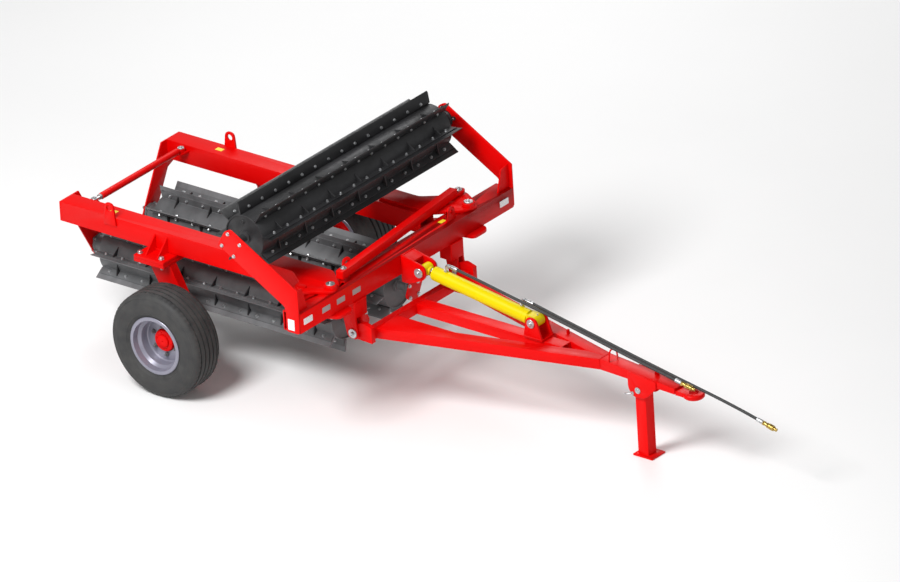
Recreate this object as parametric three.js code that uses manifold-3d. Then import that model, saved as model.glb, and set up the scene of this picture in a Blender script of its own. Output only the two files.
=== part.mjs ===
// A trailed three-section knife roller, folded for the road.
// Millimetres. +X points forward to the hitch, +Y to the machine's left, +Z up.
// The origin is on the ground, on the centre line, below the front face of the front beam.

import * as THREE from "three";
import { mergeVertices } from "three/addons/utils/BufferGeometryUtils.js";
import Module from "manifold-3d";

const wasm = await Module();
wasm.setup();

// ---- Driving dimensions ------------------------------------------------------------------

const GAP = 0.3; // left between pieces that touch
const FRAME_WIDTH = 2450; // over the side arms
const LENGTH_EACH_WAY = 2620; // from the origin to the hitch's front and to the wings' rear
const BOX_BEAM = 150; // front beam and wing beams, square
const BEAM_WALL = 8;
const BEAM_UNDERSIDE = 890;
const PLATE = 12; // side arms, legs and other plates
const RUN = 1; // running clearance between sliding faces

const PIVOT = { x: -20, z: 646, radius: 20, boss: 48 }; // tilt axis of the centre frame
const TOWER_PIN = { x: 167, z: 945 }; // cylinder's pin on the centre frame
const BRACKET_PIN = { x: 1152, z: 796 }; // cylinder's pin on the drawbar
const HINGE = { x: -60, y: 785, radius: 25 }; // vertical wing hinges, one each side

const DRUM_AXIS = { x: -580, z: 1442 }; // centre drum
const WING_DRUM_AXIS = { y: 295, z: 564 };
const CENTRE_DRUM_LENGTH = 2150;
const WING_DRUM_LENGTH = 2130;
const WING_DRUM_MIDDLE = -1400;
const DRUM_TUBE_RADIUS = 170;
const DRUM_TIP_RADIUS = 266;
const BLADES = 8;
const BLADE_PHASE = 10; // degrees
const SHAFT_RADIUS = 30;

const TYRE_RADIUS = 399;
const TYRE_WIDTH = 303;
const RIM_SEAT_RADIUS = 200;
const RIM_FLANGE_RADIUS = 221;
const WHEEL = { x: -1417, y: 1015 }; // middle of the right wheel, mirrored for the left
const AXLE_RADIUS = 30;

const RAIL_HEIGHT = 80;
const RAIL_WIDTH = 100;
const DRAWBAR_TOP = 674;
const CROSS_BEAM = { rear: 45, front: 103, halfWidth: 561 };
const NOSE_START = 1754;
const NOSE_HALF_WIDTH = 60;
const HITCH = { radius: 78, hole: 30, z: 578, thickness: 36 };
const JACK_PIN = { x: 2093, z: 521, radius: 14 };

const BARREL_RADIUS = 52.5;
const BORE_RADIUS = 42;
const ROD_RADIUS = 25;
const HOSE_RADIUS = 11;

const beamTop = BEAM_UNDERSIDE + BOX_BEAM;
const drawbarUnderside = DRAWBAR_TOP - RAIL_HEIGHT;
const armOuter = FRAME_WIDTH / 2;
const armInner = armOuter - PLATE;

// ---- Materials ---------------------------------------------------------------------------

function paint(colour, roughness, metalness) {
  return new THREE.MeshStandardMaterial({ color: colour, roughness, metalness });
}

const material = {
  red: () => paint(0xd40a08, 0.4, 0.1),
  yellow: () => paint(0xf2d800, 0.35, 0.1),
  black: () => paint(0x262626, 0.5, 0.3),
  steel: () => paint(0x808284, 0.45, 0.7),
  zinc: () => paint(0xb9bbbd, 0.35, 0.9),
  tyre: () => paint(0x2c2c2c, 0.85, 0),
  rim: () => paint(0xb4b1bd, 0.35, 0.7),
  hose: () => paint(0x2a2b2b, 0.7, 0),
  brass: () => paint(0xb88a2e, 0.3, 0.9),
};

// ---- Geometry helpers ----------------------------------------------------------------------

const radians = THREE.MathUtils.degToRad;

function solidOf(geometry) {
  const bare = geometry.clone();
  bare.deleteAttribute("normal");
  bare.deleteAttribute("uv");
  const merged = mergeVertices(bare, 1e-3);
  return new wasm.Manifold(
    new wasm.Mesh({
      numProp: 3,
      vertProperties: new Float32Array(merged.getAttribute("position").array),
      triVerts: new Uint32Array(merged.getIndex().array),
    }),
  );
}

function geometryOf(solid) {
  const mesh = solid.getMesh();
  const geometry = new THREE.BufferGeometry();
  geometry.setAttribute("position", new THREE.BufferAttribute(mesh.vertProperties, 3));
  geometry.setIndex(new THREE.BufferAttribute(mesh.triVerts, 1));
  geometry.computeVertexNormals();
  return geometry;
}

function join(...geometries) {
  return geometryOf(geometries.map(solidOf).reduce((all, next) => all.add(next)));
}

function cut(geometry, ...tools) {
  return geometryOf(tools.map(solidOf).reduce((left, tool) => left.subtract(tool), solidOf(geometry)));
}

// A box between two values along each axis, given in either order.
function box(x, y, z) {
  const size = [x, y, z].map(([a, b]) => Math.abs(b - a));
  const middle = [x, y, z].map(([a, b]) => (a + b) / 2);
  return new THREE.BoxGeometry(...size).translate(...middle);
}

// Where an outline's two directions and its depth point, for each plane it can lie in.
const PLANES = {
  xy: [new THREE.Vector3(1, 0, 0), new THREE.Vector3(0, 1, 0), new THREE.Vector3(0, 0, 1)],
  xz: [new THREE.Vector3(1, 0, 0), new THREE.Vector3(0, 0, 1), new THREE.Vector3(0, -1, 0)],
  yz: [new THREE.Vector3(0, 1, 0), new THREE.Vector3(0, 0, 1), new THREE.Vector3(1, 0, 0)],
};

// An outline of [a, b] or [a, b, rounding] points. Rounding is how far from its corner a
// round starts, and never reaches the middle of an edge.
function outline(points) {
  const shape = new THREE.Shape();
  points.forEach(([a, b, rounding = 0], i) => {
    const corner = new THREE.Vector2(a, b);
    const before = new THREE.Vector2(...points.at(i - 1)).sub(corner);
    const after = new THREE.Vector2(...points[(i + 1) % points.length]).sub(corner);
    const radius = Math.min(rounding, 0.49 * before.length(), 0.49 * after.length());
    const enter = corner.clone().add(before.setLength(radius));
    const leave = corner.clone().add(after.setLength(radius));
    if (i === 0) shape.moveTo(enter.x, enter.y);
    else shape.lineTo(enter.x, enter.y);
    if (radius > 0) shape.quadraticCurveTo(corner.x, corner.y, leave.x, leave.y);
  });
  shape.closePath();
  return shape;
}

function circle(a, b, radius, sides = 16) {
  const points = [];
  for (let i = 0; i < sides; i += 1) {
    const angle = (i * 2 * Math.PI) / sides;
    points.push(new THREE.Vector2(a + radius * Math.cos(angle), b + radius * Math.sin(angle)));
  }
  return new THREE.Path([...points, points[0]]);
}

// A plate with the given outline in a plane, from one depth to another, with round holes.
function plate(plane, points, from, to, holes = []) {
  const shape = outline(points);
  holes.forEach((hole) => shape.holes.push(circle(...hole)));
  return extrude(plane, shape, from, to);
}

function extrude(plane, shape, from, to) {
  const depth = Math.abs(to - from);
  const geometry = new THREE.ExtrudeGeometry(shape, { depth, bevelEnabled: false, curveSegments: 4 });
  geometry.applyMatrix4(new THREE.Matrix4().makeBasis(...PLANES[plane]));
  const start = plane === "xz" ? Math.max(from, to) : Math.min(from, to);
  const shift = { xy: [0, 0, start], xz: [0, start, 0], yz: [start, 0, 0] }[plane];
  return geometry.translate(...shift);
}

// A square tube along an axis: its plane is the one across that axis.
function squareTube(plane, [a, b], width, height, wall, from, to) {
  const corners = (w, h) => [
    [a - w / 2, b - h / 2],
    [a + w / 2, b - h / 2],
    [a + w / 2, b + h / 2],
    [a - w / 2, b + h / 2],
  ];
  const shape = outline(corners(width, height));
  shape.holes.push(outline(corners(width - 2 * wall, height - 2 * wall).reverse()));
  return extrude(plane, shape, from, to);
}

// A cylinder along an axis, between two values on it, centred at the other two coordinates.
function cylinder(axis, centre, radius, from, to, sides = 16) {
  const geometry = new THREE.CylinderGeometry(radius, radius, Math.abs(to - from), sides);
  const middle = (from + to) / 2;
  if (axis === "x") return geometry.rotateZ(Math.PI / 2).translate(middle, ...centre);
  if (axis === "z") return geometry.rotateX(Math.PI / 2).translate(...centre, middle);
  return geometry.translate(centre[0], middle, centre[1]);
}

// A ring about the y axis from a closed [radius, y] profile.
function ringAboutY(profile, sides) {
  const points = profile.map(([r, y]) => new THREE.Vector2(r, y));
  if (THREE.ShapeUtils.area(points) < 0) points.reverse();
  return new THREE.LatheGeometry([...points, points[0].clone()], sides);
}

const object = new THREE.Group();

function add(name, geometry, paintMaker, parent = object) {
  const mesh = new THREE.Mesh(geometry, paintMaker());
  mesh.name = name;
  parent.add(mesh);
  return mesh;
}

// The same work for the right (y negative) and the left (y positive).
function bothSides(build) {
  build("right", -1);
  build("left", 1);
}

// ---- Drawbar -------------------------------------------------------------------------------

const RAIL_OUTER_REAR = 510; // outer edge at the cross beam
const RAIL_OUTER_FRONT = 62; // outer edge at the nose
const RAIL_WALL = 8;
const railSlope = (RAIL_OUTER_REAR - RAIL_OUTER_FRONT) / (NOSE_START - CROSS_BEAM.front);

function railEdge(x, inset) {
  const across = inset * Math.hypot(1, railSlope);
  return RAIL_OUTER_REAR - across - railSlope * (x - CROSS_BEAM.front);
}

function addRails() {
  const rear = CROSS_BEAM.front + GAP;
  const meetX = CROSS_BEAM.front + railEdge(CROSS_BEAM.front, RAIL_WIDTH) / railSlope;
  const innerMeetX = CROSS_BEAM.front + railEdge(CROSS_BEAM.front, RAIL_WIDTH - RAIL_WALL) / railSlope;
  const gussetInner = 265;
  const gussetEnd = CROSS_BEAM.front + (railEdge(CROSS_BEAM.front, RAIL_WIDTH) - gussetInner) / railSlope;
  bothSides((side, s) => {
    const shell = [
      [rear, s * railEdge(rear, 0)],
      [NOSE_START, s * RAIL_OUTER_FRONT],
      [NOSE_START, s * GAP],
      [meetX, s * GAP],
      [rear, s * railEdge(rear, RAIL_WIDTH)],
    ];
    const hollow = [
      [rear - RAIL_WALL, s * railEdge(rear - RAIL_WALL, RAIL_WALL)],
      [NOSE_START - RAIL_WALL, s * railEdge(NOSE_START - RAIL_WALL, RAIL_WALL)],
      [NOSE_START - RAIL_WALL, s * RAIL_WALL],
      [innerMeetX - RAIL_WALL / railSlope, s * RAIL_WALL],
      [rear - RAIL_WALL, s * railEdge(rear - RAIL_WALL, RAIL_WIDTH - RAIL_WALL)],
    ];
    const gusset = [
      [rear, s * (railEdge(rear, RAIL_WIDTH) + 5)],
      [rear, s * gussetInner],
      [gussetEnd, s * gussetInner],
      [gussetEnd, s * (gussetInner + 5)],
    ];
    const rail = cut(
      plate("xy", shell, drawbarUnderside, DRAWBAR_TOP),
      plate("xy", hollow, drawbarUnderside + RAIL_WALL, DRAWBAR_TOP - RAIL_WALL),
    );
    add(`drawbar_rail_${side}`, join(rail, plate("xy", gusset, DRAWBAR_TOP - 10, DRAWBAR_TOP)), material.red);
  });

  const halfWidth = 50;
  const frontX = CROSS_BEAM.front + (railEdge(CROSS_BEAM.front, RAIL_WIDTH) - halfWidth) / railSlope;
  const centre = [0, (DRAWBAR_TOP + drawbarUnderside) / 2];
  add(
    "drawbar_centre_rail",
    squareTube("yz", centre, 2 * halfWidth, RAIL_HEIGHT, RAIL_WALL, rear, frontX - 10),
    material.red,
  );
}

const EAR = { inner: 560, outer: 600 }; // drawbar's pivot ears, |y|

function addCrossBeam() {
  const middle = [(CROSS_BEAM.rear + CROSS_BEAM.front) / 2, (DRAWBAR_TOP + drawbarUnderside) / 2];
  const depth = CROSS_BEAM.front - CROSS_BEAM.rear;
  const beam = squareTube("xz", middle, depth, RAIL_HEIGHT, 6, -CROSS_BEAM.halfWidth, CROSS_BEAM.halfWidth);
  const ear = [
    [PIVOT.x - 42, PIVOT.z - 42, 25],
    [135, drawbarUnderside],
    [135, 712],
    [60, 737, 20],
    [PIVOT.x - 42, PIVOT.z + 50, 30],
  ];
  const pivotHole = [PIVOT.x, PIVOT.z, PIVOT.radius + RUN];
  const ears = [-1, 1].map((s) =>
    plate("xz", ear, s * EAR.inner, s * EAR.outer, [pivotHole]),
  );
  const drain = cylinder("z", [middle[0], 0], 10, drawbarUnderside - 1, drawbarUnderside + 10);
  add("drawbar_cross_beam", cut(join(beam, ...ears), drain), material.red);
}

function addNose() {
  const start = NOSE_START + GAP;
  const end = 2415;
  const shell = [
    [start, 592],
    [end, 568],
    [end, 612],
    [start, DRAWBAR_TOP],
  ];
  const hollow = [
    [start - 10, 600],
    [end - 12, 577],
    [end - 12, 603],
    [start - 10, DRAWBAR_TOP - 8],
  ];
  const nose = cut(
    plate("xz", shell, -NOSE_HALF_WIDTH, NOSE_HALF_WIDTH),
    plate("xz", hollow, -NOSE_HALF_WIDTH + 8, NOSE_HALF_WIDTH - 8),
  );
  add("drawbar_nose", nose, material.red);

  const ringX = LENGTH_EACH_WAY - HITCH.radius;
  const low = HITCH.z - HITCH.thickness / 2;
  const high = HITCH.z + HITCH.thickness / 2;
  const ring = join(
    cylinder("z", [ringX, 0], HITCH.radius, low, high, 28),
    box([end + GAP, ringX], [-55, 55], [low, high]),
  );
  add("hitch_ring", cut(ring, cylinder("z", [ringX, 0], HITCH.hole, low - 1, high + 1, 24)), material.red);
}

function addCylinderBracket() {
  const { x, z } = BRACKET_PIN;
  const base = DRAWBAR_TOP + GAP;
  const ear = [
    [x - 75, base],
    [x + 95, base],
    [x + 42, z + 42, 35],
    [x - 42, z + 42, 35],
  ];
  const hole = [x, z, PIVOT.radius + RUN];
  const bracket = join(
    box([x - 75, x + 95], [-66, 66], [base, base + 14]),
    plate("xz", ear, -50, -66, [hole]),
    plate("xz", ear, 50, 66, [hole]),
  );
  add("cylinder_bracket", bracket, material.red);
  const pin = join(
    cylinder("y", [x, z], PIVOT.radius, -78, 78),
    cylinder("y", [x, z], 32, -78, -66 - GAP),
    cylinder("y", [x, z], 32, 66 + GAP, 78),
  );
  add("cylinder_bracket_pin", pin, material.zinc);
}

const JACK_PLATE = { inner: NOSE_HALF_WIDTH + GAP, thickness: 10 };

function addJackMount() {
  const jackPlate = [
    [2005, 650],
    [2005, 520, 30],
    [2050, 462, 30],
    [2140, 462, 30],
    [2190, 500, 30],
    [2255, 572],
    [2255, 622],
  ];
  const hole = [JACK_PIN.x, JACK_PIN.z, JACK_PIN.radius + RUN];
  bothSides((side, s) => {
    const outer = JACK_PLATE.inner + JACK_PLATE.thickness;
    add(`jack_plate_${side}`, plate("xz", jackPlate, s * JACK_PLATE.inner, s * outer, [hole]), material.red);
  });
  const head = JACK_PLATE.inner + JACK_PLATE.thickness + GAP;
  const pin = join(
    cylinder("y", [JACK_PIN.x, JACK_PIN.z], JACK_PIN.radius, -head - 8, head + 8),
    cylinder("y", [JACK_PIN.x, JACK_PIN.z], 24, -head - 8, -head),
    cylinder("y", [JACK_PIN.x, JACK_PIN.z], 24, head, head + 8),
  );
  add("jack_pin", pin, material.zinc);
}

// A bent rod that carries the two hoses over the nose.
function addHoseHolder() {
  const x = 1830;
  const foot = DRAWBAR_TOP - 2;
  const top = 750;
  const path = new THREE.CurvePath();
  const turns = [
    [x, -48, foot],
    [x, -36, top],
    [x, 36, top],
    [x, 48, foot],
  ].map((p) => new THREE.Vector3(...p));
  turns.slice(1).forEach((turn, i) => path.add(new THREE.LineCurve3(turns[i], turn)));
  const bend = new THREE.CatmullRomCurve3(path.getSpacedPoints(12), false, "centripetal");
  const section = new THREE.Shape().absarc(0, 0, 6, 0, 2 * Math.PI, false);
  const rod = new THREE.ExtrudeGeometry(section, { extrudePath: bend, steps: 16, curveSegments: 4 });
  add("hose_holder", rod, material.red);
}

// ---- Drop leg ------------------------------------------------------------------------------

function addJack() {
  const half = 45;
  const { x, z } = JACK_PIN;
  const leg = squareTube("xy", [x, 0], 2 * half, 2 * half, 6, 6, z + 30);
  const foot = box([x - 70, x + 100], [-75, 75], [0, 12]);
  const pinHole = cylinder("y", [x, z], JACK_PIN.radius + RUN, -60, 60);
  add("drop_leg", cut(join(leg, foot), pinHole), material.red);
}

// ---- Hydraulic cylinder, built along its own x axis with the bracket pin at its origin --------

const strokeAxis = new THREE.Vector2(BRACKET_PIN.x - TOWER_PIN.x, BRACKET_PIN.z - TOWER_PIN.z);
const pinToPin = strokeAxis.length();
const BARREL_BASE = -62;
const BARREL_GLAND = -920;
const EYE_HALF_WIDTH = 44;
const ROD_EYE_RADIUS = 40;
const PISTON = { start: 632, end: 672 }; // from the rod's eye

function addCylinder() {
  const cylinderFrame = new THREE.Group();
  cylinderFrame.position.set(BRACKET_PIN.x, 0, BRACKET_PIN.z);
  cylinderFrame.rotation.y = -Math.atan2(strokeAxis.y, strokeAxis.x);
  object.add(cylinderFrame);

  const boreBase = BARREL_BASE - 35;
  const glandInner = BARREL_GLAND + 28;
  const tube = cut(
    cylinder("x", [0, 0], BARREL_RADIUS, BARREL_GLAND, BARREL_BASE, 24),
    cylinder("x", [0, 0], BORE_RADIUS, glandInner, boreBase, 24),
    cylinder("x", [0, 0], ROD_RADIUS + RUN, BARREL_GLAND - 1, glandInner + 1),
  );
  const baseEye = join(
    box([BARREL_BASE - 1, 0], [-EYE_HALF_WIDTH, EYE_HALF_WIDTH], [-38, 38]),
    cylinder("y", [0, 0], 44, -EYE_HALF_WIDTH, EYE_HALF_WIDTH),
  );
  const pinBore = cylinder("y", [0, 0], PIVOT.radius + RUN, -60, 60);
  add("cylinder_barrel", join(tube, cut(baseEye, pinBore)), material.yellow, cylinderFrame);

  const eyeX = -pinToPin;
  const rod = join(
    cylinder("x", [0, 0], ROD_RADIUS, eyeX + 30, eyeX + PISTON.end),
    cylinder("x", [0, 0], BORE_RADIUS - RUN, eyeX + PISTON.start, eyeX + PISTON.end, 24),
    cylinder("y", [eyeX, 0], ROD_EYE_RADIUS, -EYE_HALF_WIDTH, EYE_HALF_WIDTH),
  );
  const eyeBore = cylinder("y", [eyeX, 0], PIVOT.radius + RUN, -60, 60);
  add("cylinder_rod", cut(rod, eyeBore), material.yellow, cylinderFrame);

  const elbow = (x, y, reach) =>
    join(
      cylinder("z", [x, y], 13, BARREL_RADIUS + 2 * GAP, 110, 12),
      cylinder("x", [y, 107], 13, x - 13, x + reach, 12),
    );
  add("rod_port_elbow", elbow(-818, 0, 40), material.zinc, cylinderFrame);
  add("base_port_elbow", elbow(-145, 14, 40), material.zinc, cylinderFrame);
}

// ---- Centre frame ----------------------------------------------------------------------------

const LEG = { inner: 485, outer: 618, plate: 15 };

function addFrontBeam() {
  const length = armInner - GAP;
  const middle = [-BOX_BEAM / 2, BEAM_UNDERSIDE + BOX_BEAM / 2];
  const tube = squareTube("xz", middle, BOX_BEAM, BOX_BEAM, BEAM_WALL, -length, length);
  const hingeBores = [-1, 1].map((s) =>
    cylinder("z", [HINGE.x, s * HINGE.y], HINGE.radius + RUN, BEAM_UNDERSIDE - 5, beamTop + 5),
  );
  const lug = { x: -202, y: -436, thickness: 14, top: beamTop + 81 };
  const lugOutline = [
    [lug.y - 52, beamTop - 90],
    [lug.y + 52, beamTop - 90],
    [lug.y + 38, lug.top, 34],
    [lug.y - 38, lug.top, 34],
  ];
  const rearLug = join(
    plate("yz", lugOutline, lug.x, lug.x + lug.thickness, [[lug.y, lug.top - 40, 20]]),
    box([lug.x + 12, -BOX_BEAM + 1], [lug.y - 40, lug.y + 40], [beamTop - 90, beamTop - 20]),
  );
  const eye = { x: -60, y: 572, thickness: 14, top: beamTop + 98 };
  const eyeOutline = [
    [eye.y - 52, beamTop - 1],
    [eye.y + 52, beamTop - 1],
    [eye.y + 34, eye.top, 30],
    [eye.y - 34, eye.top, 30],
  ];
  const topEye = plate("yz", eyeOutline, eye.x, eye.x + eye.thickness, [[eye.y, eye.top - 36, 17]]);
  const stayLug = box([-100, -50], [-640, -580], [beamTop - 1, beamTop + 36]);
  const beam = join(tube, rearLug, topEye, stayLug);
  add("front_beam", cut(beam, ...hingeBores), material.red);
}

// The stay lies over the hinge plates, from a lug on the beam to the left wing's lobe.
function addCrossStay() {
  const near = new THREE.Vector2(-75, -640);
  const far = new THREE.Vector2(-235, 892);
  const reach = far.clone().sub(near);
  const bottom = beamTop + 36 + GAP;
  const size = 60;
  const stayFrame = new THREE.Group();
  stayFrame.position.set(near.x, near.y, 0);
  stayFrame.rotation.z = Math.atan2(reach.y, reach.x);
  object.add(stayFrame);
  const tube = squareTube("yz", [0, bottom + size / 2], size, size, 5, -22, reach.length() - 60);
  const eye = plate(
    "xy",
    [
      [reach.length() - 70, -29],
      [reach.length() + 45, -44, 40],
      [reach.length() + 45, 44, 40],
      [reach.length() - 70, 29],
    ],
    bottom,
    bottom + 20,
    [[reach.length(), 0, 16]],
  );
  add("cross_stay", join(tube, eye), material.red, stayFrame);
}

// A side arm: upright in front of the beam's end, then bent back and up to the drum.
function addArms() {
  const slope = radians(30.2);
  const bend = new THREE.Vector2(0, BEAM_UNDERSIDE + 335);
  const uprightDepth = 115;
  const width = 188;
  // A point on the bent part: so far along its top edge, so far below that edge.
  const onArm = (along, below, radius) => [
    bend.x - along * Math.cos(slope) - below * Math.sin(slope),
    bend.y + along * Math.sin(slope) - below * Math.cos(slope),
    radius,
  ];
  const inside = (uprightDepth - width * Math.sin(slope)) / Math.cos(slope);
  const points = [
    [0, BEAM_UNDERSIDE, 20],
    [bend.x, bend.y],
    onArm(672, 0, 20),
    onArm(705, 55, 20),
    onArm(705, width, 25),
    onArm(inside, width, 30),
    [-uprightDepth, BEAM_UNDERSIDE, 20],
  ];
  bothSides((side, s) => {
    add(`side_arm_${side}`, plate("xz", points, s * armInner, s * armOuter), material.red);
    const flange = join(
      box([DRUM_AXIS.x - 68, DRUM_AXIS.x + 68], [s * (armInner - 16), s * (armInner - GAP)], [
        DRUM_AXIS.z - 68,
        DRUM_AXIS.z + 68,
      ]),
      cylinder("y", [DRUM_AXIS.x, DRUM_AXIS.z], 60, s * (armInner - 55), s * (armInner - GAP)),
    ).translate(-DRUM_AXIS.x, 0, -DRUM_AXIS.z);
    const bore = cylinder("y", [0, 0], SHAFT_RADIUS + RUN, s * (armInner - 60), s * armInner);
    const bearing = add(`centre_bearing_${side}`, cut(flange, bore), material.black);
    bearing.position.set(DRUM_AXIS.x, 0, DRUM_AXIS.z);
    bearing.rotation.y = slope;
  });
}

function addPivotLegs() {
  const boxBottom = 763;
  const rear = -100;
  const front = 10;
  const lug = [
    [rear, boxBottom + 40],
    [rear, boxBottom - 10, 20],
    [PIVOT.x - PIVOT.boss, PIVOT.z - PIVOT.boss + 5, 40],
    [PIVOT.x + PIVOT.boss, PIVOT.z - PIVOT.boss + 5, 40],
    [front, boxBottom - 10],
    [front, boxBottom + 40],
  ];
  const hole = [PIVOT.x, PIVOT.z, PIVOT.radius + RUN];
  bothSides((side, s) => {
    const middle = [(rear + front) / 2, (s * (LEG.inner + LEG.outer)) / 2];
    const width = LEG.outer - LEG.inner;
    const post = squareTube("xy", middle, front - rear, width, 10, boxBottom, BEAM_UNDERSIDE - GAP);
    const outerLug = plate("xz", lug, s * (LEG.outer - LEG.plate), s * LEG.outer, [hole]);
    const innerLug = plate("xz", lug, s * (EAR.inner - 3), s * (EAR.inner - 3 - LEG.plate), [hole]);
    const web = box([rear, front], [s * (LEG.inner + 2), s * (LEG.outer - 2)], [boxBottom, boxBottom + 12]);
    add(`pivot_leg_${side}`, join(post, outerLug, innerLug, web), material.red);
    const end = LEG.outer + GAP;
    const inner = EAR.inner - 3 - LEG.plate;
    const pin = join(
      cylinder("y", [PIVOT.x, PIVOT.z], PIVOT.radius, s * (inner - 10), s * (end + 14)),
      cylinder("y", [PIVOT.x, PIVOT.z], 34, s * end, s * (end + 8)),
    );
    add(`pivot_pin_${side}`, pin, material.zinc);
  });
}

function addTower() {
  const { x, z } = TOWER_PIN;
  const lug = [
    [GAP, BEAM_UNDERSIDE - 60],
    [60, BEAM_UNDERSIDE - 60, 20],
    [x + 48, z - 50, 48],
    [x + 48, z + 46, 48],
    [GAP, beamTop],
  ];
  const cover = [
    [GAP, beamTop - 1],
    [GAP, beamTop - 15],
    [105, beamTop - 39],
    [105, beamTop - 25],
  ];
  const inner = EYE_HALF_WIDTH + 8;
  const outer = inner + 18;
  const tower = join(
    plate("xz", lug, -inner, -outer),
    plate("xz", lug, inner, outer),
    box([GAP, 14], [-outer, outer], [BEAM_UNDERSIDE - 60, beamTop]),
    plate("xz", cover, -inner - 1, inner + 1),
    cylinder("y", [x, z], 34, -outer - 12, -outer + 1),
    cylinder("y", [x, z], 34, outer - 1, outer + 12),
  );
  add("cylinder_tower", tower, material.red);
}

function addHingePins() {
  const topHead = beamTop + RUN + 22 + GAP;
  const lowHead = BEAM_UNDERSIDE - RUN - 22 - GAP;
  bothSides((side, s) => {
    const centre = [HINGE.x, s * HINGE.y];
    const pin = join(
      cylinder("z", centre, HINGE.radius, lowHead - 45, topHead + 45),
      cylinder("z", centre, 45, topHead, topHead + 34),
      cylinder("z", centre, 40, lowHead - 34, lowHead),
    );
    add(`wing_hinge_pin_${side}`, pin, material.zinc);
  });
}

// ---- Drums, built along their own z axis -------------------------------------------------------

const CARRIER = { inner: DRUM_TUBE_RADIUS - 4, outer: 226, thickness: 8 };
const BLADE = { inner: 176, outer: DRUM_TIP_RADIUS, thickness: 10 };

// chirality is 1 or -1: the side of each carrier that its blade is bolted to.
function drumGeometry(length, shaftEnds, chirality) {
  const half = length / 2;
  const wall = 8;
  const solid = join(
    cylinder("z", [0, 0], DRUM_TUBE_RADIUS, -half + 4, half - 4, 24),
    cylinder("z", [0, 0], SHAFT_RADIUS, ...shaftEnds),
  );
  const shell = cut(
    solid,
    cylinder("z", [0, 0], DRUM_TUBE_RADIUS - wall, -half + 20, half - 20, 24),
    cylinder("z", [0, 70], 16, half - 30, half + 5, 12),
  );
  const blades = [];
  for (let i = 0; i < BLADES; i += 1) {
    const back = chirality * CARRIER.thickness;
    const carrier = box([CARRIER.inner, CARRIER.outer], [0, back], [-half + 10, half - 10]);
    const blade = box([BLADE.inner, BLADE.outer], [chirality, -chirality * BLADE.thickness], [-half, half]);
    const angle = (i * 2 * Math.PI) / BLADES;
    blades.push(carrier.rotateZ(angle), blade.rotateZ(angle));
  }
  return join(shell, ...blades);
}

function addCentreDrum() {
  const reach = armInner - 14;
  const drum = add("centre_drum", drumGeometry(CENTRE_DRUM_LENGTH, [-reach, reach], 1), material.black);
  drum.position.set(DRUM_AXIS.x, 0, DRUM_AXIS.z);
  drum.rotation.set(Math.PI / 2, 0, 0);
  drum.rotateZ(radians(BLADE_PHASE));
}

// ---- Wings -----------------------------------------------------------------------------------

const WING = { inner: 528, outer: 678, front: -300 }; // the wing beam, |y| and x
const FORK = 22; // hinge plates' thickness
const rearPlate = -LENGTH_EACH_WAY + PLATE;
const FRONT_LEG_X = -212;

function addWingBeam(side, s) {
  const middle = [(s * (WING.inner + WING.outer)) / 2, BEAM_UNDERSIDE + BOX_BEAM / 2];
  const rear = rearPlate + GAP;
  const tube = squareTube("yz", middle, BOX_BEAM, BOX_BEAM, BEAM_WALL, rear, WING.front);
  const lobe = { x: -235, y: 892 };
  const fork = [
    [-690, s * 556],
    [-216, s * 556, 30],
    [HINGE.x + 30, s * (HINGE.y - 70), 55],
    [HINGE.x + 62, s * (HINGE.y + 45), 55],
    [lobe.x + 20, s * (lobe.y + 62), 45],
    [lobe.x - 60, s * (lobe.y + 20), 40],
    [-312, s * 820, 30],
    [-451, s * 716, 30],
    [-690, s * 716],
  ];
  const lowerFork = [
    ...fork.slice(0, 2),
    [HINGE.x - 50, s * (HINGE.y - 130), 20],
    [HINGE.x + 118, s * (HINGE.y - 100), 40],
    [HINGE.x + 118, s * (HINGE.y + 60), 40],
    ...fork.slice(4),
  ];
  const hole = [HINGE.x, s * HINGE.y, HINGE.radius + RUN];
  const forkPlate = (shape, z) => plate("xy", shape, z, z + FORK, [hole]);
  const forkBaseY = [s * (WING.inner + 30), s * WING.outer];
  const forkBase = (low, high) => box([-680, WING.front], forkBaseY, [low, high]);
  const lobeBoss = cylinder("z", [lobe.x, s * lobe.y], 32, beamTop + RUN + FORK - 1, beamTop + 34);
  const eye = [
    [-2204, beamTop - 60],
    [-2092, beamTop - 60],
    [-2108, beamTop + 112, 36],
    [-2186, beamTop + 112, 36],
  ];
  const lockLug = [
    [-2495, s * (WING.inner + 2)],
    [-2480, s * 455, 25],
    [-2420, s * 455, 25],
    [-2405, s * (WING.inner + 2)],
  ];
  const beam = join(
    tube,
    forkPlate(fork, beamTop + RUN),
    forkBase(beamTop - 1, beamTop + RUN + 1),
    forkPlate(lowerFork, BEAM_UNDERSIDE - RUN - FORK),
    forkBase(BEAM_UNDERSIDE - RUN - 1, BEAM_UNDERSIDE + 1),
    lobeBoss,
    plate("xz", eye, s * (WING.outer - 1), s * (WING.outer + 14), [[-2147, beamTop + 70, 24]]),
    plate("xy", lockLug, LOCK.lugTop - 15, LOCK.lugTop, [[LOCK.x, s * LOCK.y, 14]]),
  );
  add(`${side}_wing_beam`, beam, material.red);
}

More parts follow.
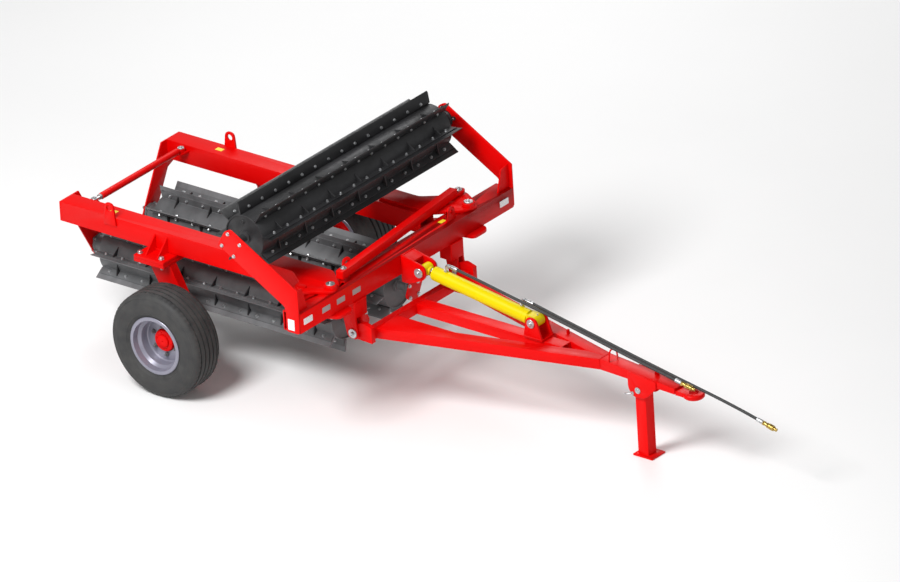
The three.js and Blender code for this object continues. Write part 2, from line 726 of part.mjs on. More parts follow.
// A leg plate that carries one end of a wing drum, and the bearing on its drum side.
function addWingLeg(side, s, end, x, bearingSide) {
  const { y, z } = WING_DRUM_AXIS;
  const lean = radians(28.6);
  const down = new THREE.Vector2(-Math.sin(lean), -Math.cos(lean));
  const across = new THREE.Vector2(-down.y, down.x);
  const at = (along, side2) => [
    s * (y + along * down.x + side2 * across.x),
    z + along * down.y + side2 * across.y,
  ];
  const rise = (z - BEAM_UNDERSIDE) / Math.cos(lean);
  const top = end === "rear" ? beamTop : BEAM_UNDERSIDE - FORK - 2 * RUN;
  const points = [
    [...at(78, -70), 45],
    [...at(78, 75), 45],
    ...(end === "rear"
      ? [
          at(rise + 33, 75),
          [s * WING.outer, BEAM_UNDERSIDE],
          [s * WING.outer, top],
          [s * 468, top],
        ]
      : [at((z - top) / Math.cos(lean) + 41, 75), [s * 640, top], [s * (y + 100), top]]),
  ];
  add(`${side}_${end}_leg`, plate("yz", points, x, x + PLATE), material.red);
  const from = bearingSide > 0 ? x + PLATE + GAP : x - GAP;
  const depth = end === "rear" ? 110 : 48;
  const bearing = join(
    cylinder("x", [s * y, z], 60, from, from + bearingSide * depth),
    cylinder("x", [s * y, z], 78, from, from + bearingSide * 14, 8),
  );
  const boreEnd = from + bearingSide * (depth + 2);
  const bore = cylinder("x", [s * y, z], SHAFT_RADIUS + RUN, from - bearingSide, boreEnd);
  add(`${side}_${end}_bearing`, cut(bearing, bore), material.steel);
}

function addWingDrum(side, s) {
  const front = FRONT_LEG_X - 2;
  const rear = rearPlate + 2;
  const reach = [rear - WING_DRUM_MIDDLE, front - WING_DRUM_MIDDLE];
  const drum = add(`${side}_drum`, drumGeometry(WING_DRUM_LENGTH, reach, s), material.steel);
  drum.position.set(WING_DRUM_MIDDLE, s * WING_DRUM_AXIS.y, WING_DRUM_AXIS.z);
  drum.rotation.set(0, Math.PI / 2, 0);
  drum.rotateZ(radians(s * BLADE_PHASE));
}

const CLAMP = { x: -1690, halfLength: 135, top: 862, thickness: 25, outer: 830 };

function addWheelArm(side, s) {
  const front = CLAMP.x + CLAMP.halfLength;
  const rear = CLAMP.x - CLAMP.halfLength;
  const topPlate = box([rear, front], [s * (WING.inner + 30), s * CLAMP.outer], [
    CLAMP.top,
    CLAMP.top + CLAMP.thickness,
  ]);
  const gusset = [
    [s * (WING.outer + GAP), CLAMP.top + CLAMP.thickness - 1],
    [s * (CLAMP.outer - 30), CLAMP.top + CLAMP.thickness - 1],
    [s * (WING.outer + GAP), BEAM_UNDERSIDE + 118],
  ];
  const gussets = [-60, 48].map((x) => plate("yz", gusset, CLAMP.x + x, CLAMP.x + x + PLATE));
  add(`${side}_arm_clamp`, join(topPlate, ...gussets), material.red);

  const lowTop = CLAMP.top - GAP;
  const lowPlate = box([rear, front], [s * (WING.inner + 40), s * CLAMP.outer], [
    lowTop - CLAMP.thickness,
    lowTop,
  ]);
  const arm = [
    [CLAMP.x - 80, lowTop - 10],
    [WHEEL.x - 85, TYRE_RADIUS - 20, 30],
    [WHEEL.x - 50, TYRE_RADIUS - 75, 40],
    [WHEEL.x + 60, TYRE_RADIUS - 75, 40],
    [WHEEL.x + 80, TYRE_RADIUS + 10, 30],
    [CLAMP.x + 125, lowTop - 10],
  ];
  const axleEnd = WHEEL.y + 5;
  add(
    `${side}_wheel_arm`,
    join(
      lowPlate,
      plate("xz", arm, s * 686, s * 756),
      cylinder("y", [WHEEL.x, TYRE_RADIUS], AXLE_RADIUS, s * 750, s * axleEnd),
    ),
    material.red,
  );
}

function addWheel(side, s) {
  const half = TYRE_WIDTH / 2;
  const bead = RIM_SEAT_RADIUS + GAP;
  const tyreProfile = [
    [bead, -108],
    [bead + 30, -122],
    [280, -half],
    [345, -half + 4],
    [TYRE_RADIUS - 14, -half + 30],
    [TYRE_RADIUS, -half + 56],
    [TYRE_RADIUS, half - 56],
    [TYRE_RADIUS - 14, half - 30],
    [345, half - 4],
    [280, half],
    [bead + 30, 122],
    [bead, 108],
    [bead, 84],
    [bead + 40, 84],
    [366, 105],
    [366, -105],
    [bead + 40, -84],
    [bead, -84],
  ];
  const rimProfile = [
    [RIM_SEAT_RADIUS - 8, -130],
    [RIM_FLANGE_RADIUS, -130],
    [RIM_FLANGE_RADIUS, -125],
    [RIM_SEAT_RADIUS, -112],
    [RIM_SEAT_RADIUS, 112],
    [RIM_FLANGE_RADIUS, 125],
    [RIM_FLANGE_RADIUS, 130],
    [RIM_SEAT_RADIUS - 8, 130],
    [RIM_SEAT_RADIUS - 8, 5],
    [86, 5],
    [86, -3],
    [RIM_SEAT_RADIUS - 8, -3],
  ];
  const hubProfile = [
    [AXLE_RADIUS + RUN, -150],
    [72, -150],
    [72, -40],
    [125, -28],
    [125, -4],
    [82, -3.5],
    [82, 25],
    [48, 27],
    [48, 42],
    [0.01, 42],
    [0.01, 12],
    [AXLE_RADIUS + RUN, 12],
  ];
  [
    ["tyre", tyreProfile, 32, material.tyre],
    ["rim", rimProfile, 32, material.rim],
    ["hub", hubProfile, 16, material.red],
  ].forEach(([name, profile, sides, paintMaker]) => {
    const mirrored = profile.map(([r, y]) => [r, s * y]);
    const mesh = add(`${side}_${name}`, ringAboutY(mirrored, sides), paintMaker);
    mesh.position.set(WHEEL.x, s * WHEEL.y, TYRE_RADIUS);
  });
}

// ---- Rear lock bar ---------------------------------------------------------------------------

const LOCK = { x: -2450, y: 490, lugTop: 1000, radius: 25, eyeRadius: 30, eyeHeight: 24 };

function addLockBar() {
  const low = LOCK.lugTop + GAP;
  const high = low + LOCK.eyeHeight;
  const middle = (low + high) / 2 + 4;
  const tubeEnd = LOCK.y - 75;
  const bar = join(
    cylinder("y", [LOCK.x, middle], LOCK.radius, -tubeEnd, tubeEnd + 30),
    cylinder("y", [LOCK.x, middle], 13, tubeEnd + 29, LOCK.y - 20, 12),
    cylinder("y", [LOCK.x, middle], 13, -LOCK.y + 20, -tubeEnd + 1, 12),
    cylinder("y", [LOCK.x, middle], 24, -tubeEnd - 22, -tubeEnd + 1, 6),
    cylinder("z", [LOCK.x, LOCK.y], LOCK.eyeRadius, low, high),
    cylinder("z", [LOCK.x, -LOCK.y], LOCK.eyeRadius, low, high),
  );
  const bores = [-1, 1].map((s) => cylinder("z", [LOCK.x, s * LOCK.y], 13, low - 1, high + 1));
  add("rear_lock_bar", cut(bar, ...bores), material.red);
}

// ---- Hoses -----------------------------------------------------------------------------------

// Route points of the two hoses, from their elbows to their couplers.
const HOSE_A_ROUTE = [
  [400.5, 0, 1018],
  [470, -1, 1007.4],
  [560, -3, 993.5],
  [640, -6, 981.5],
  [780, -11, 960],
  [920, -16, 938],
  [1080, -18, 912],
  [1260, -18, 880],
  [1450, -18, 843],
  [1640, -18, 806],
  [1830, -18, 768],
  [2000, -18, 735],
  [2160, -18, 705],
  [2300, -18, 679],
  [2380, -18, 664],
  [2450, -18, 650],
];
const HOSE_B_ROUTE = [
  [1066.9, 14, 917.1],
  [1120, 14, 909],
  [1180, 14, 898],
  [1260, 14, 881],
  [1450, 14, 843],
  [1640, 14, 806],
  [1830, 14, 768],
  [2000, 14, 735],
  [2160, 14, 705],
  [2300, 14, 679],
  [2420, 14, 657],
  [2560, 14, 632],
  [2720, 14, 603],
  [2880, 14, 571],
  [3020, 14, 540],
  [3140, 14, 510],
];

function addHose(letter, route) {
  const points = route.map((p) => new THREE.Vector3(...p));
  const path = new THREE.CatmullRomCurve3(points, false, "centripetal");
  const section = new THREE.Shape().absarc(0, 0, HOSE_RADIUS, 0, 2 * Math.PI, false);
  const steps = Math.round(path.getLength() / (5.2 * HOSE_RADIUS));
  const tube = new THREE.ExtrudeGeometry(section, { extrudePath: path, steps, curveSegments: 4 });
  add(`hose_${letter}`, tube, material.hose);

  const end = points.at(-1);
  const direction = path.getTangent(1);
  const couplerFrame = new THREE.Group();
  couplerFrame.position.copy(end).addScaledVector(direction, GAP);
  couplerFrame.rotation.y = -Math.atan2(direction.z, direction.x);
  object.add(couplerFrame);
  const coupler = join(
    cylinder("x", [0, 0], 14, 0, 52, 12),
    cylinder("x", [0, 0], 17, 50, 74, 6),
    cylinder("x", [0, 0], 19, 72, 118, 16),
    cylinder("x", [0, 0], 12, 116, 150, 12),
  );
  add(`coupler_${letter}`, coupler, material.brass, couplerFrame);
}

// ---- Assembly --------------------------------------------------------------------------------

addRails();
addCrossBeam();
addNose();
addCylinderBracket();
addJackMount();
addHoseHolder();
addJack();
addCylinder();
addFrontBeam();
addCrossStay();
addArms();
addPivotLegs();
addTower();
addHingePins();
addCentreDrum();
bothSides((side, s) => {
  addWingBeam(side, s);
  addWingLeg(side, s, "front", FRONT_LEG_X, -1);
  addWingLeg(side, s, "rear", -LENGTH_EACH_WAY, 1);
  addWingDrum(side, s);
  addWheelArm(side, s);
  addWheel(side, s);
});
addLockBar();
addHose("a", HOSE_A_ROUTE);
addHose("b", HOSE_B_ROUTE);

export default object;
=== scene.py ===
"""Looks of a trailed folding knife roller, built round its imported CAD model.

Metres. +X points forward to the hitch, +Y to the machine's left, +Z up. The ground is z = 0.
"""

import math

import bmesh
import bpy
from mathutils import Matrix, Quaternion, Vector


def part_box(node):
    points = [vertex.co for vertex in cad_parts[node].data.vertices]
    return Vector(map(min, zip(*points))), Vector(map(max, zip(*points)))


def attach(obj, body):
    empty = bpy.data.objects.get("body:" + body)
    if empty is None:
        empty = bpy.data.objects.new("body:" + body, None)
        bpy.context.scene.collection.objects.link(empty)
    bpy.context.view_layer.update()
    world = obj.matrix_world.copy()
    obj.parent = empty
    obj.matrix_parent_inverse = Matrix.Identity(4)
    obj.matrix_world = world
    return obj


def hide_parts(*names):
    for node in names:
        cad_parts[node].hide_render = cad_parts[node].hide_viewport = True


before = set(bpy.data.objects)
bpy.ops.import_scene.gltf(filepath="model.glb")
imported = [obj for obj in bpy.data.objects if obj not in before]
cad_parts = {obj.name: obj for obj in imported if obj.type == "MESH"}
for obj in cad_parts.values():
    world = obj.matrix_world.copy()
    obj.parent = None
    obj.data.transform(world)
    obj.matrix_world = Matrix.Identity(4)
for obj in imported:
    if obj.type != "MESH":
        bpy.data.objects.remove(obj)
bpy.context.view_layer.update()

SIDES = (("right", -1), ("left", 1))
MM = 0.001
SEAT_GAP = 0.0003  # what the CAD model leaves between faces that touch
QUARTER = math.pi / 2
LEFT, UP = (0, 1, 0), (0, 0, 1)


def add_object(name, data):
    made = bpy.data.objects.new(name, data)
    bpy.context.scene.collection.objects.link(made)
    return made


def middle_of(node):
    low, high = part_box(node)
    return (low + high) / 2


# ---- Camera, made first ----

VIEW_AZIMUTH, VIEW_ELEVATION, VIEW_ROLL = 39.8, 25.8, -3.4
VIEW_LENS = 900
VIEW_DISTANCE = 158.6
VIEW_TARGET = Vector((0.4626, -0.1029, 0.89))


def add_camera():
    azimuth, elevation = math.radians(VIEW_AZIMUTH), math.radians(VIEW_ELEVATION)
    back = Vector((
        math.sin(azimuth) * math.cos(elevation),
        -math.cos(azimuth) * math.cos(elevation),
        math.sin(elevation),
    ))
    data = bpy.data.cameras.new("camera")
    data.lens = VIEW_LENS
    data.clip_end = 500
    camera = add_object("camera", data)
    camera.location = VIEW_TARGET + back * VIEW_DISTANCE
    camera.rotation_mode = "QUATERNION"
    roll = Quaternion(UP, math.radians(VIEW_ROLL))
    camera.rotation_quaternion = (-back).to_track_quat("-Z", "Y") @ roll
    bpy.context.scene.camera = camera


add_camera()


# ---- Materials ----

class Finish:
    """One procedural material: a Principled shader and the nodes that drive it."""

    def __init__(self, name, roughness, metallic=0.0, coat=0.0):
        self.material = bpy.data.materials.new(name)
        self.material.use_nodes = True
        self.tree = self.material.node_tree
        self.shader = self.tree.nodes["Principled BSDF"]
        self.feed(self.shader, {
            "Roughness": roughness, "Metallic": metallic, "Coat Weight": coat, "Coat Roughness": 0.12})
        self.place = self.node("TexCoord").outputs["Object"]

    def feed(self, node, inputs):
        """Sets a node's inputs, each to a value or to another node's output."""
        for name, value in inputs.items():
            if isinstance(value, bpy.types.NodeSocket):
                self.tree.links.new(value, node.inputs[name])
            else:
                node.inputs[name].default_value = value

    def node(self, kind, inputs=None, **settings):
        made = self.tree.nodes.new("ShaderNode" + kind)
        for name, value in settings.items():
            setattr(made, name, value)
        self.feed(made, inputs or {})
        return made

    def stretched(self, scale):
        return self.node("Mapping", {"Vector": self.place, "Scale": scale}).outputs["Vector"]

    def noise(self, scale, detail=4.0, roughness=0.5, place=None):
        inputs = {"Vector": place or self.place, "Scale": scale, "Detail": detail, "Roughness": roughness}
        return self.node("TexNoise", inputs).outputs["Fac"]

    def ramp(self, source, *stops):
        made = self.node("ValToRGB", {"Fac": source})
        for element, (position, colour) in zip(made.color_ramp.elements, stops):
            element.position = position
            element.color = (*colour, 1)
        return made.outputs["Color"]

    def mix(self, factor, source, colour):
        """The source, mixed with one colour by the factor."""
        made = self.node("Mix", {"Factor": factor}, data_type="RGBA")
        first, second = [socket for socket in made.inputs if socket.type == "RGBA"]
        self.tree.links.new(source, first)
        second.default_value = (*colour, 1)
        return next(socket for socket in made.outputs if socket.type == "RGBA")

    def colour(self, source, *stops):
        """The base colour: a source as it is, or a ramp over it."""
        self.feed(self.shader, {"Base Color": self.ramp(source, *stops) if stops else source})

    def roughen(self, source, low, high):
        """Roughness between low and high, over the middle of the source's range."""
        inputs = {"Value": source, "From Min": 0.3, "From Max": 0.7, "To Min": low, "To Max": high}
        made = self.node("MapRange", inputs)
        self.feed(self.shader, {"Roughness": made.outputs["Result"]})

    def bump(self, source, distance, strength):
        inputs = {"Height": source, "Distance": distance, "Strength": strength}
        made = self.node("Bump", inputs)
        self.feed(self.shader, {"Normal": made.outputs["Normal"]})


def shade(colour, factor):
    return tuple(c * factor for c in colour)


def grey(value):
    return value, value, value


def paint(name, colour, roughness, wear):
    """Sprayed paint: slight tone changes, orange peel, and thin wear on edges."""
    finish = Finish(name, roughness)
    finish.shader.inputs["Specular IOR Level"].default_value = 0.12
    broad = finish.noise(1.6, detail=3)
    tone = finish.ramp(broad, (0.3, shade(colour, 0.93)), (0.7, shade(colour, 1.04)))
    fine = finish.noise(38, detail=6, roughness=0.65)
    edge = finish.node("NewGeometry").outputs["Pointiness"]
    worn_edge = finish.ramp(edge, (0.6, grey(0)), (0.72, grey(0.6)))
    patches = finish.ramp(fine, (0.56, grey(0)), (0.66, grey(1)))
    worn = finish.node("Math", {0: worn_edge, 1: patches}, operation="MULTIPLY")
    finish.colour(finish.mix(worn.outputs[0], tone, wear))
    finish.roughen(finish.noise(7, detail=5), roughness - 0.05, roughness + 0.08)
    finish.bump(finish.noise(260, detail=2), 0.00035, 0.35)
    return finish.material


def rolled_steel(name, dark, light, roughness, metallic):
    """Rolled steel bar under a thin coat: long faint streaks and scattered lighter scuffs."""
    finish = Finish(name, roughness, metallic=metallic, coat=0.05)
    streaks = finish.noise(9, detail=5, place=finish.stretched((1, 0.35, 1)))
    tone = finish.ramp(streaks, (0.32, dark), (0.7, light))
    scuffs = finish.ramp(finish.noise(55, detail=7, roughness=0.7), (0.64, grey(0)), (0.8, grey(0.3)))
    finish.colour(finish.mix(scuffs, tone, shade(light, 1.35)))
    finish.roughen(finish.noise(16, detail=6), roughness - 0.08, roughness + 0.12)
    finish.bump(finish.noise(180, detail=4), 0.0004, 0.4)
    return finish.material


def zinc_plate():
    finish = Finish("zinc_plate", 0.32, metallic=0.9)
    cloud = finish.noise(45, detail=5)
    finish.colour(cloud, (0.3, (0.36, 0.37, 0.38)), (0.7, (0.62, 0.63, 0.64)))
    finish.roughen(cloud, 0.26, 0.42)
    finish.bump(finish.noise(600, detail=2), 0.00015, 0.4)
    return finish.material


def hard_chrome():
    finish = Finish("hard_chrome", 0.1, metallic=1.0)
    rings = finish.noise(30, detail=4, place=finish.stretched((60, 1, 1)))
    finish.colour(rings, (0.3, (0.62, 0.64, 0.66)), (0.7, (0.8, 0.81, 0.82)))
    finish.roughen(rings, 0.07, 0.16)
    return finish.material


def tread_rubber():
    finish = Finish("tread_rubber", 0.72)
    dust = finish.noise(14, detail=6, roughness=0.6)
    finish.colour(dust, (0.35, (0.022, 0.022, 0.023)), (0.75, (0.05, 0.049, 0.047)))
    finish.roughen(dust, 0.6, 0.82)
    finish.bump(finish.noise(420, detail=3), 0.0005, 0.5)
    return finish.material


def rim_silver():
    finish = Finish("rim_silver", 0.34, metallic=0.3, coat=0.3)
    flake = finish.node("TexVoronoi", {"Vector": finish.place, "Scale": 900})
    lit, dim = (0.27, 0.265, 0.33), (0.21, 0.206, 0.255)
    finish.colour(flake.outputs["Distance"], (0.1, lit), (0.8, dim))
    finish.roughen(finish.noise(12, detail=4), 0.28, 0.42)
    finish.bump(finish.noise(200, detail=2), 0.0002, 0.3)
    return finish.material


def hose_cover():
    finish = Finish("hose_cover", 0.55)
    inputs = {"Vector": finish.place, "Scale": 130, "Distortion": 0.6}
    wrap = finish.node("TexWave", inputs, wave_type="BANDS", bands_direction="DIAGONAL")
    dark, light = (0.017, 0.018, 0.018), (0.034, 0.035, 0.035)
    finish.colour(wrap.outputs["Fac"], (0.2, dark), (0.8, light))
    finish.roughen(finish.noise(60, detail=4), 0.48, 0.66)
    finish.bump(wrap.outputs["Fac"], 0.0004, 0.6)
    return finish.material


def turned_brass():
    finish = Finish("turned_brass", 0.25, metallic=1.0)
    tarnish = finish.noise(50, detail=5)
    finish.colour(tarnish, (0.3, (0.34, 0.22, 0.05)), (0.7, (0.56, 0.4, 0.12)))
    finish.roughen(tarnish, 0.2, 0.38)
    finish.bump(finish.noise(40, detail=3, place=finish.stretched((40, 1, 1))), 0.0001, 0.3)
    return finish.material


def sheet_plastic(name, colour):
    finish = Finish(name, 0.35, coat=0.2)
    finish.colour(finish.noise(20), (0.3, shade(colour, 0.92)), (0.7, colour))
    finish.roughen(finish.noise(60), 0.3, 0.42)
    finish.bump(finish.noise(500), 0.0001, 0.3)
    return finish.material


def lens_plastic():
    """Reflector: a honeycomb of small prisms behind a smooth white face."""
    finish = Finish("lens_plastic", 0.18, coat=0.6)
    inputs = {"Vector": finish.place, "Scale": 320}
    cells = finish.node("TexVoronoi", inputs, feature="DISTANCE_TO_EDGE")
    edge, face = (0.55, 0.56, 0.58), grey(0.9)
    finish.colour(cells.outputs["Distance"], (0.02, edge), (0.12, face))
    finish.roughen(finish.noise(80), 0.12, 0.26)
    finish.bump(cells.outputs["Distance"], 0.0006, 0.4)
    return finish.material


def studio_floor():
    finish = Finish("studio_floor", 0.85)
    finish.colour(finish.noise(0.5), (0.3, grey(0.86)), (0.7, grey(0.88)))
    return finish.material


RED = paint("red_gloss", (0.7, 0.0006, 0.0005), 0.4, (0.5, 0.02, 0.015))
YELLOW = paint("yellow_gloss", (0.72, 0.58, 0.0), 0.35, (0.8, 0.7, 0.2))
BLACK_BAR = rolled_steel("black_bar", (0.012, 0.012, 0.013), (0.03, 0.03, 0.032), 0.42, 0.35)
BLACK_TUBE = rolled_steel("black_tube", (0.016, 0.016, 0.017), (0.04, 0.04, 0.043), 0.5, 0.3)
GREY_TUBE = rolled_steel("grey_tube", (0.085, 0.087, 0.09), (0.13, 0.132, 0.137), 0.5, 0.15)
GREY_BAR = rolled_steel("grey_bar", (0.12, 0.122, 0.126), (0.18, 0.183, 0.19), 0.45, 0.2)
ZINC = zinc_plate()
CHROME = hard_chrome()
RUBBER = tread_rubber()
RIM = rim_silver()
HOSE = hose_cover()
BRASS = turned_brass()
DARK = sheet_plastic("dark_cap", grey(0.02))
YELLOW_FILM = sheet_plastic("yellow_film", (0.9, 0.72, 0.02))
SILVER_FILM = sheet_plastic("silver_film", grey(0.33))
LENS = lens_plastic()

# The record's slot of each material. The films, lenses and hoses have none in this table.
SLOTS = {
    RED: "red_paint", YELLOW: "yellow_paint", BLACK_BAR: "black_paint", BLACK_TUBE: "black_paint",
    GREY_TUBE: "drum_steel", GREY_BAR: "drum_steel", ZINC: "zinc", CHROME: "zinc",
    RUBBER: "tyre_rubber", RIM: "rim_silver", BRASS: "brass", DARK: "black_paint",
}


# ---- Shapes ----

def along(point, direction, about=0.0):
    """A matrix that puts a shape's own z axis on a direction, at a point."""
    turn = Vector(direction).normalized().to_track_quat("Z", "X").to_matrix().to_4x4()
    return Matrix.Translation(Vector(point)) @ turn @ Matrix.Rotation(about, 4, "Z")


def polygon(sides, radius, start=0.0):
    """The corners of a regular polygon, also used for bolts on a circle."""
    turn = 2 * math.pi / sides
    angles = [start + i * turn for i in range(sides)]
    return [(radius * math.cos(angle), radius * math.sin(angle)) for angle in angles]


def rod(radius, low, high, top=0.0, foot=0.0):
    """The profile of a solid round bar, with chamfers of these sizes at its two ends."""
    lower = [(radius - foot, low), (radius, low + foot)] if foot else [(radius, low)]
    upper = [(radius, high - top), (radius - top, high)] if top else [(radius, high)]
    return [(0, low), *lower, *upper, (0, high)]


class Shape:
    """The closed solids of one piece, gathered one by one."""

    def __init__(self):
        self.mesh = bmesh.new()

    def faces(self, points, faces, place):
        verts = [self.mesh.verts.new(place @ Vector(p)) for p in points]
        for face in faces:
            self.mesh.faces.new([verts[i] for i in face])

    def prism(self, outline, low, high, place):
        """An outline of (x, y) points, from one z to another."""
        count = len(outline)
        points = [(*p, low) for p in outline] + [(*p, high) for p in outline]
        sides = [(i, (i + 1) % count, count + (i + 1) % count, count + i) for i in range(count)]
        ends = [tuple(reversed(range(count))), tuple(range(count, 2 * count))]
        self.faces(points, sides + ends, place)
        return self

    def box(self, x, y, z, place=Matrix.Identity(4)):
        outline = [(x[0], y[0]), (x[1], y[0]), (x[1], y[1]), (x[0], y[1])]
        return self.prism(outline, z[0], z[1], place)

    def lathe(self, profile, place, sides, notch=None):
        """A profile of (radius, z) turned about z. It starts and ends on the axis, or closes on itself.

        notch is (every, rings, depth): on every so many columns those rings are cut in by depth.
        """
        rings, points = [], []
        for k, (radius, z) in enumerate(profile):
            if radius < 1e-6:
                rings.append([len(points)] * sides)
                points.append((0, 0, z))
                continue
            ring = []
            for i in range(sides):
                cut = notch[2] if notch and k in notch[1] and i % notch[0] == 0 else 0
                angle = 2 * math.pi * i / sides
                ring.append(len(points))
                reach = radius - cut
                points.append((reach * math.cos(angle), reach * math.sin(angle), z))
            rings.append(ring)
        open_ended = profile[0][0] < 1e-6
        pairs = list(zip(rings, rings[1:])) + ([] if open_ended else [(rings[-1], rings[0])])
        faces = []
        for lower, upper in pairs:
            for i in range(sides):
                j = (i + 1) % sides
                corners = [lower[i], lower[j], upper[j], upper[i]]
                face = [c for n, c in enumerate(corners) if c not in corners[:n]]
                if len(face) > 2:
                    faces.append(tuple(face))
        self.faces(points, faces, place)
        return self

    def tube(self, route, radius, sides=12, wobble=None):
        """A rod that follows a route of points. wobble gives each ring's radius factor."""
        route = [Vector(p) for p in route]
        points, count = [], len(route)
        side = (route[1] - route[0]).orthogonal().normalized()
        for i, centre in enumerate(route):
            ahead = route[min(i + 1, count - 1)] - route[max(i - 1, 0)]
            side = (side - ahead.normalized() * side.dot(ahead.normalized())).normalized()
            up = ahead.normalized().cross(side)
            size = radius * (wobble(i) if wobble else 1)
            points += [tuple(centre + size * (a * side + b * up)) for a, b in polygon(sides, 1)]
        faces = []
        for i in range(0, (count - 1) * sides, sides):
            for j in range(sides):
                after = (j + 1) % sides
                faces.append((i + j, i + after, i + sides + after, i + sides + j))
        ends = [tuple(reversed(range(sides))), tuple(range((count - 1) * sides, count * sides))]
        self.faces(points, faces + ends, Matrix.Identity(4))
        return self

    def weld(self, start, end, size=0.006):
        """A bead of small overlapping ripples between two points."""
        start, end, ripple = Vector(start), Vector(end), 0.006
        steps = max(3, int((end - start).length / ripple))
        route = [start.lerp(end, i / steps) for i in range(steps + 1)]
        return self.tube(route, size, 6, lambda i: 1.0 if i % 2 else 0.82)

    def bolt(self, point, direction, size, washer=True, turn=0.3):
        """A hexagon head, usually on a washer. size is the thread's diameter."""
        place = along(point, direction, turn)
        rise = size * 0.18 if washer else 0.0
        if washer:
            self.lathe([(0, 0), (size, 0), (size, rise * 0.8), (size * 0.96, rise), (0, rise)], place, 24)
        flats, top = size * 0.84, rise + size * 0.62
        self.prism(polygon(6, flats), rise, top - size * 0.06, place)
        crown = [(0, top - size * 0.08), (flats * 0.84, top - size * 0.08), (flats * 0.76, top), (0, top)]
        self.lathe(crown, place, 18)
        return self

    def nut(self, point, direction, size, stub=0.4, turn=0.1):
        """A nut with the thread's end standing out of it."""
        place = along(point, direction, turn)
        self.lathe(rod(size, 0, size * 0.15), place, 24)
        self.prism(polygon(6, size * 0.84), size * 0.15, size * 0.9, place)
        end = size * (0.9 + stub)
        thread = [(size * 0.48, size * 0.85), (size * 0.48, end - size * 0.08), (size * 0.4, end)]
        self.lathe([(0, size * 0.85), *thread, (0, end)], place, 16)
        return self

    def piece(self, name, body, material, bevel=0.0, smooth=35, slot=None, replaces=()):
        """Ends the shape: one object that rides on a body and may stand for CAD nodes."""
        bmesh.ops.recalc_face_normals(self.mesh, faces=self.mesh.faces[:])
        data = bpy.data.meshes.new(name)
        self.mesh.to_mesh(data)
        self.mesh.free()
        data.shade_smooth()
        data.set_sharp_from_angle(angle=math.radians(smooth))
        data.materials.append(material)
        made = add_object(name, data)
        if bevel:
            round_edges(made, bevel)
        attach(made, body)
        slot = slot or SLOTS.get(material)
        if replaces:
            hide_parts(*replaces)
        return made


def round_edges(made, width):
    bevel = made.modifiers.new("rounded_edges", "BEVEL")
    bevel.width = width
    bevel.segments = 2
    bevel.limit_method = "ANGLE"
    bevel.angle_limit = math.radians(40)
    bevel.harden_normals = True


def refine(node):
    """Keeps a CAD node and gives it rounded edges, smooth shading and red paint."""
    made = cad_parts[node]
    made.data.materials.clear()
    made.data.materials.append(RED)
    made.data.shade_smooth()
    join = made.modifiers.new("joined_corners", "WELD")
    join.merge_threshold = 0.00002
    flat = made.modifiers.new("flat_faces", "DECIMATE")
    flat.decimate_type = "DISSOLVE"
    flat.angle_limit = math.radians(1)
    round_edges(made, 0.0025)


# ---- Hoses: the CAD model's routes, in millimetres ----

HOSE_DIAMETER = 0.022
HOSE_ROUTES = {
    "a": [
        (400.5, 0, 1018), (470, -1, 1007.4), (560, -3, 993.5), (640, -6, 981.5), (780, -11, 960),
        (920, -16, 938), (1080, -18, 912), (1260, -18, 880), (1450, -18, 843), (1640, -18, 806),
        (1830, -18, 768), (2000, -18, 735), (2160, -18, 705), (2300, -18, 679), (2380, -18, 664),
        (2450, -18, 650),
    ],
    "b": [
        (1066.9, 14, 917.1), (1120, 14, 909), (1180, 14, 898), (1260, 14, 881), (1450, 14, 843),
        (1640, 14, 806), (1830, 14, 768), (2000, 14, 735), (2160, 14, 705), (2300, 14, 679), (2420, 14, 657),
        (2560, 14, 632), (2720, 14, 603), (2880, 14, 571), (3020, 14, 540), (3140, 14, 510),
    ],
}
FERRULE_LENGTH = 0.055


def ferrule(shape, start, direction):
    """A crimped sleeve with a smaller collar, from a point on the hose to its fitting."""
    outer, waist, length = 0.0155, 0.0142, FERRULE_LENGTH
    profile = [(0, 0), (waist, 0)]
    for i in range(4):
        z = 0.006 + i * 0.011
        profile += [(outer, z), (outer, z + 0.008), (waist, z + 0.0095)]
    profile += [(waist, length - 0.004), (0.012, length), (0, length)]
    shape.lathe(profile, along(start, direction), 24)


def add_coupler(letter, point, direction):
    """A turned quick coupler with a knurled sleeve and a hexagon."""
    place = along(point, direction)
    shape = Shape()
    shape.prism(polygon(6, 0.018), 0.0, 0.016, place)
    shape.lathe([(0, 0.014), (0.0135, 0.014), (0.0135, 0.034), (0.0155, 0.036), (0, 0.036)], place, 32)
    shape.prism(polygon(6, 0.0195), 0.035, 0.052, place)
    sleeve = [(0, 0.051), (0.0195, 0.051)]
    for i in range(5):
        z = 0.054 + i * 0.0075
        sleeve += [(0.0205, z), (0.0205, z + 0.0042), (0.0188, z + 0.0056)]
    sleeve += [(0.02, 0.0935), (0.0175, 0.097), (0, 0.097)]
    shape.lathe(sleeve, place, 36)
    nose = [(0, 0.096), (0.013, 0.096), (0.013, 0.105), (0.0112, 0.107), (0.0112, 0.112), (0.0126, 0.114)]
    shape.lathe([*nose, (0.0126, 0.119), (0.0095, 0.122), (0, 0.122)], place, 32)
    return shape.piece(f"coupler_{letter}_brass", "drawbar", BRASS, bevel=0.0006,
                       replaces=[f"coupler_{letter}"])


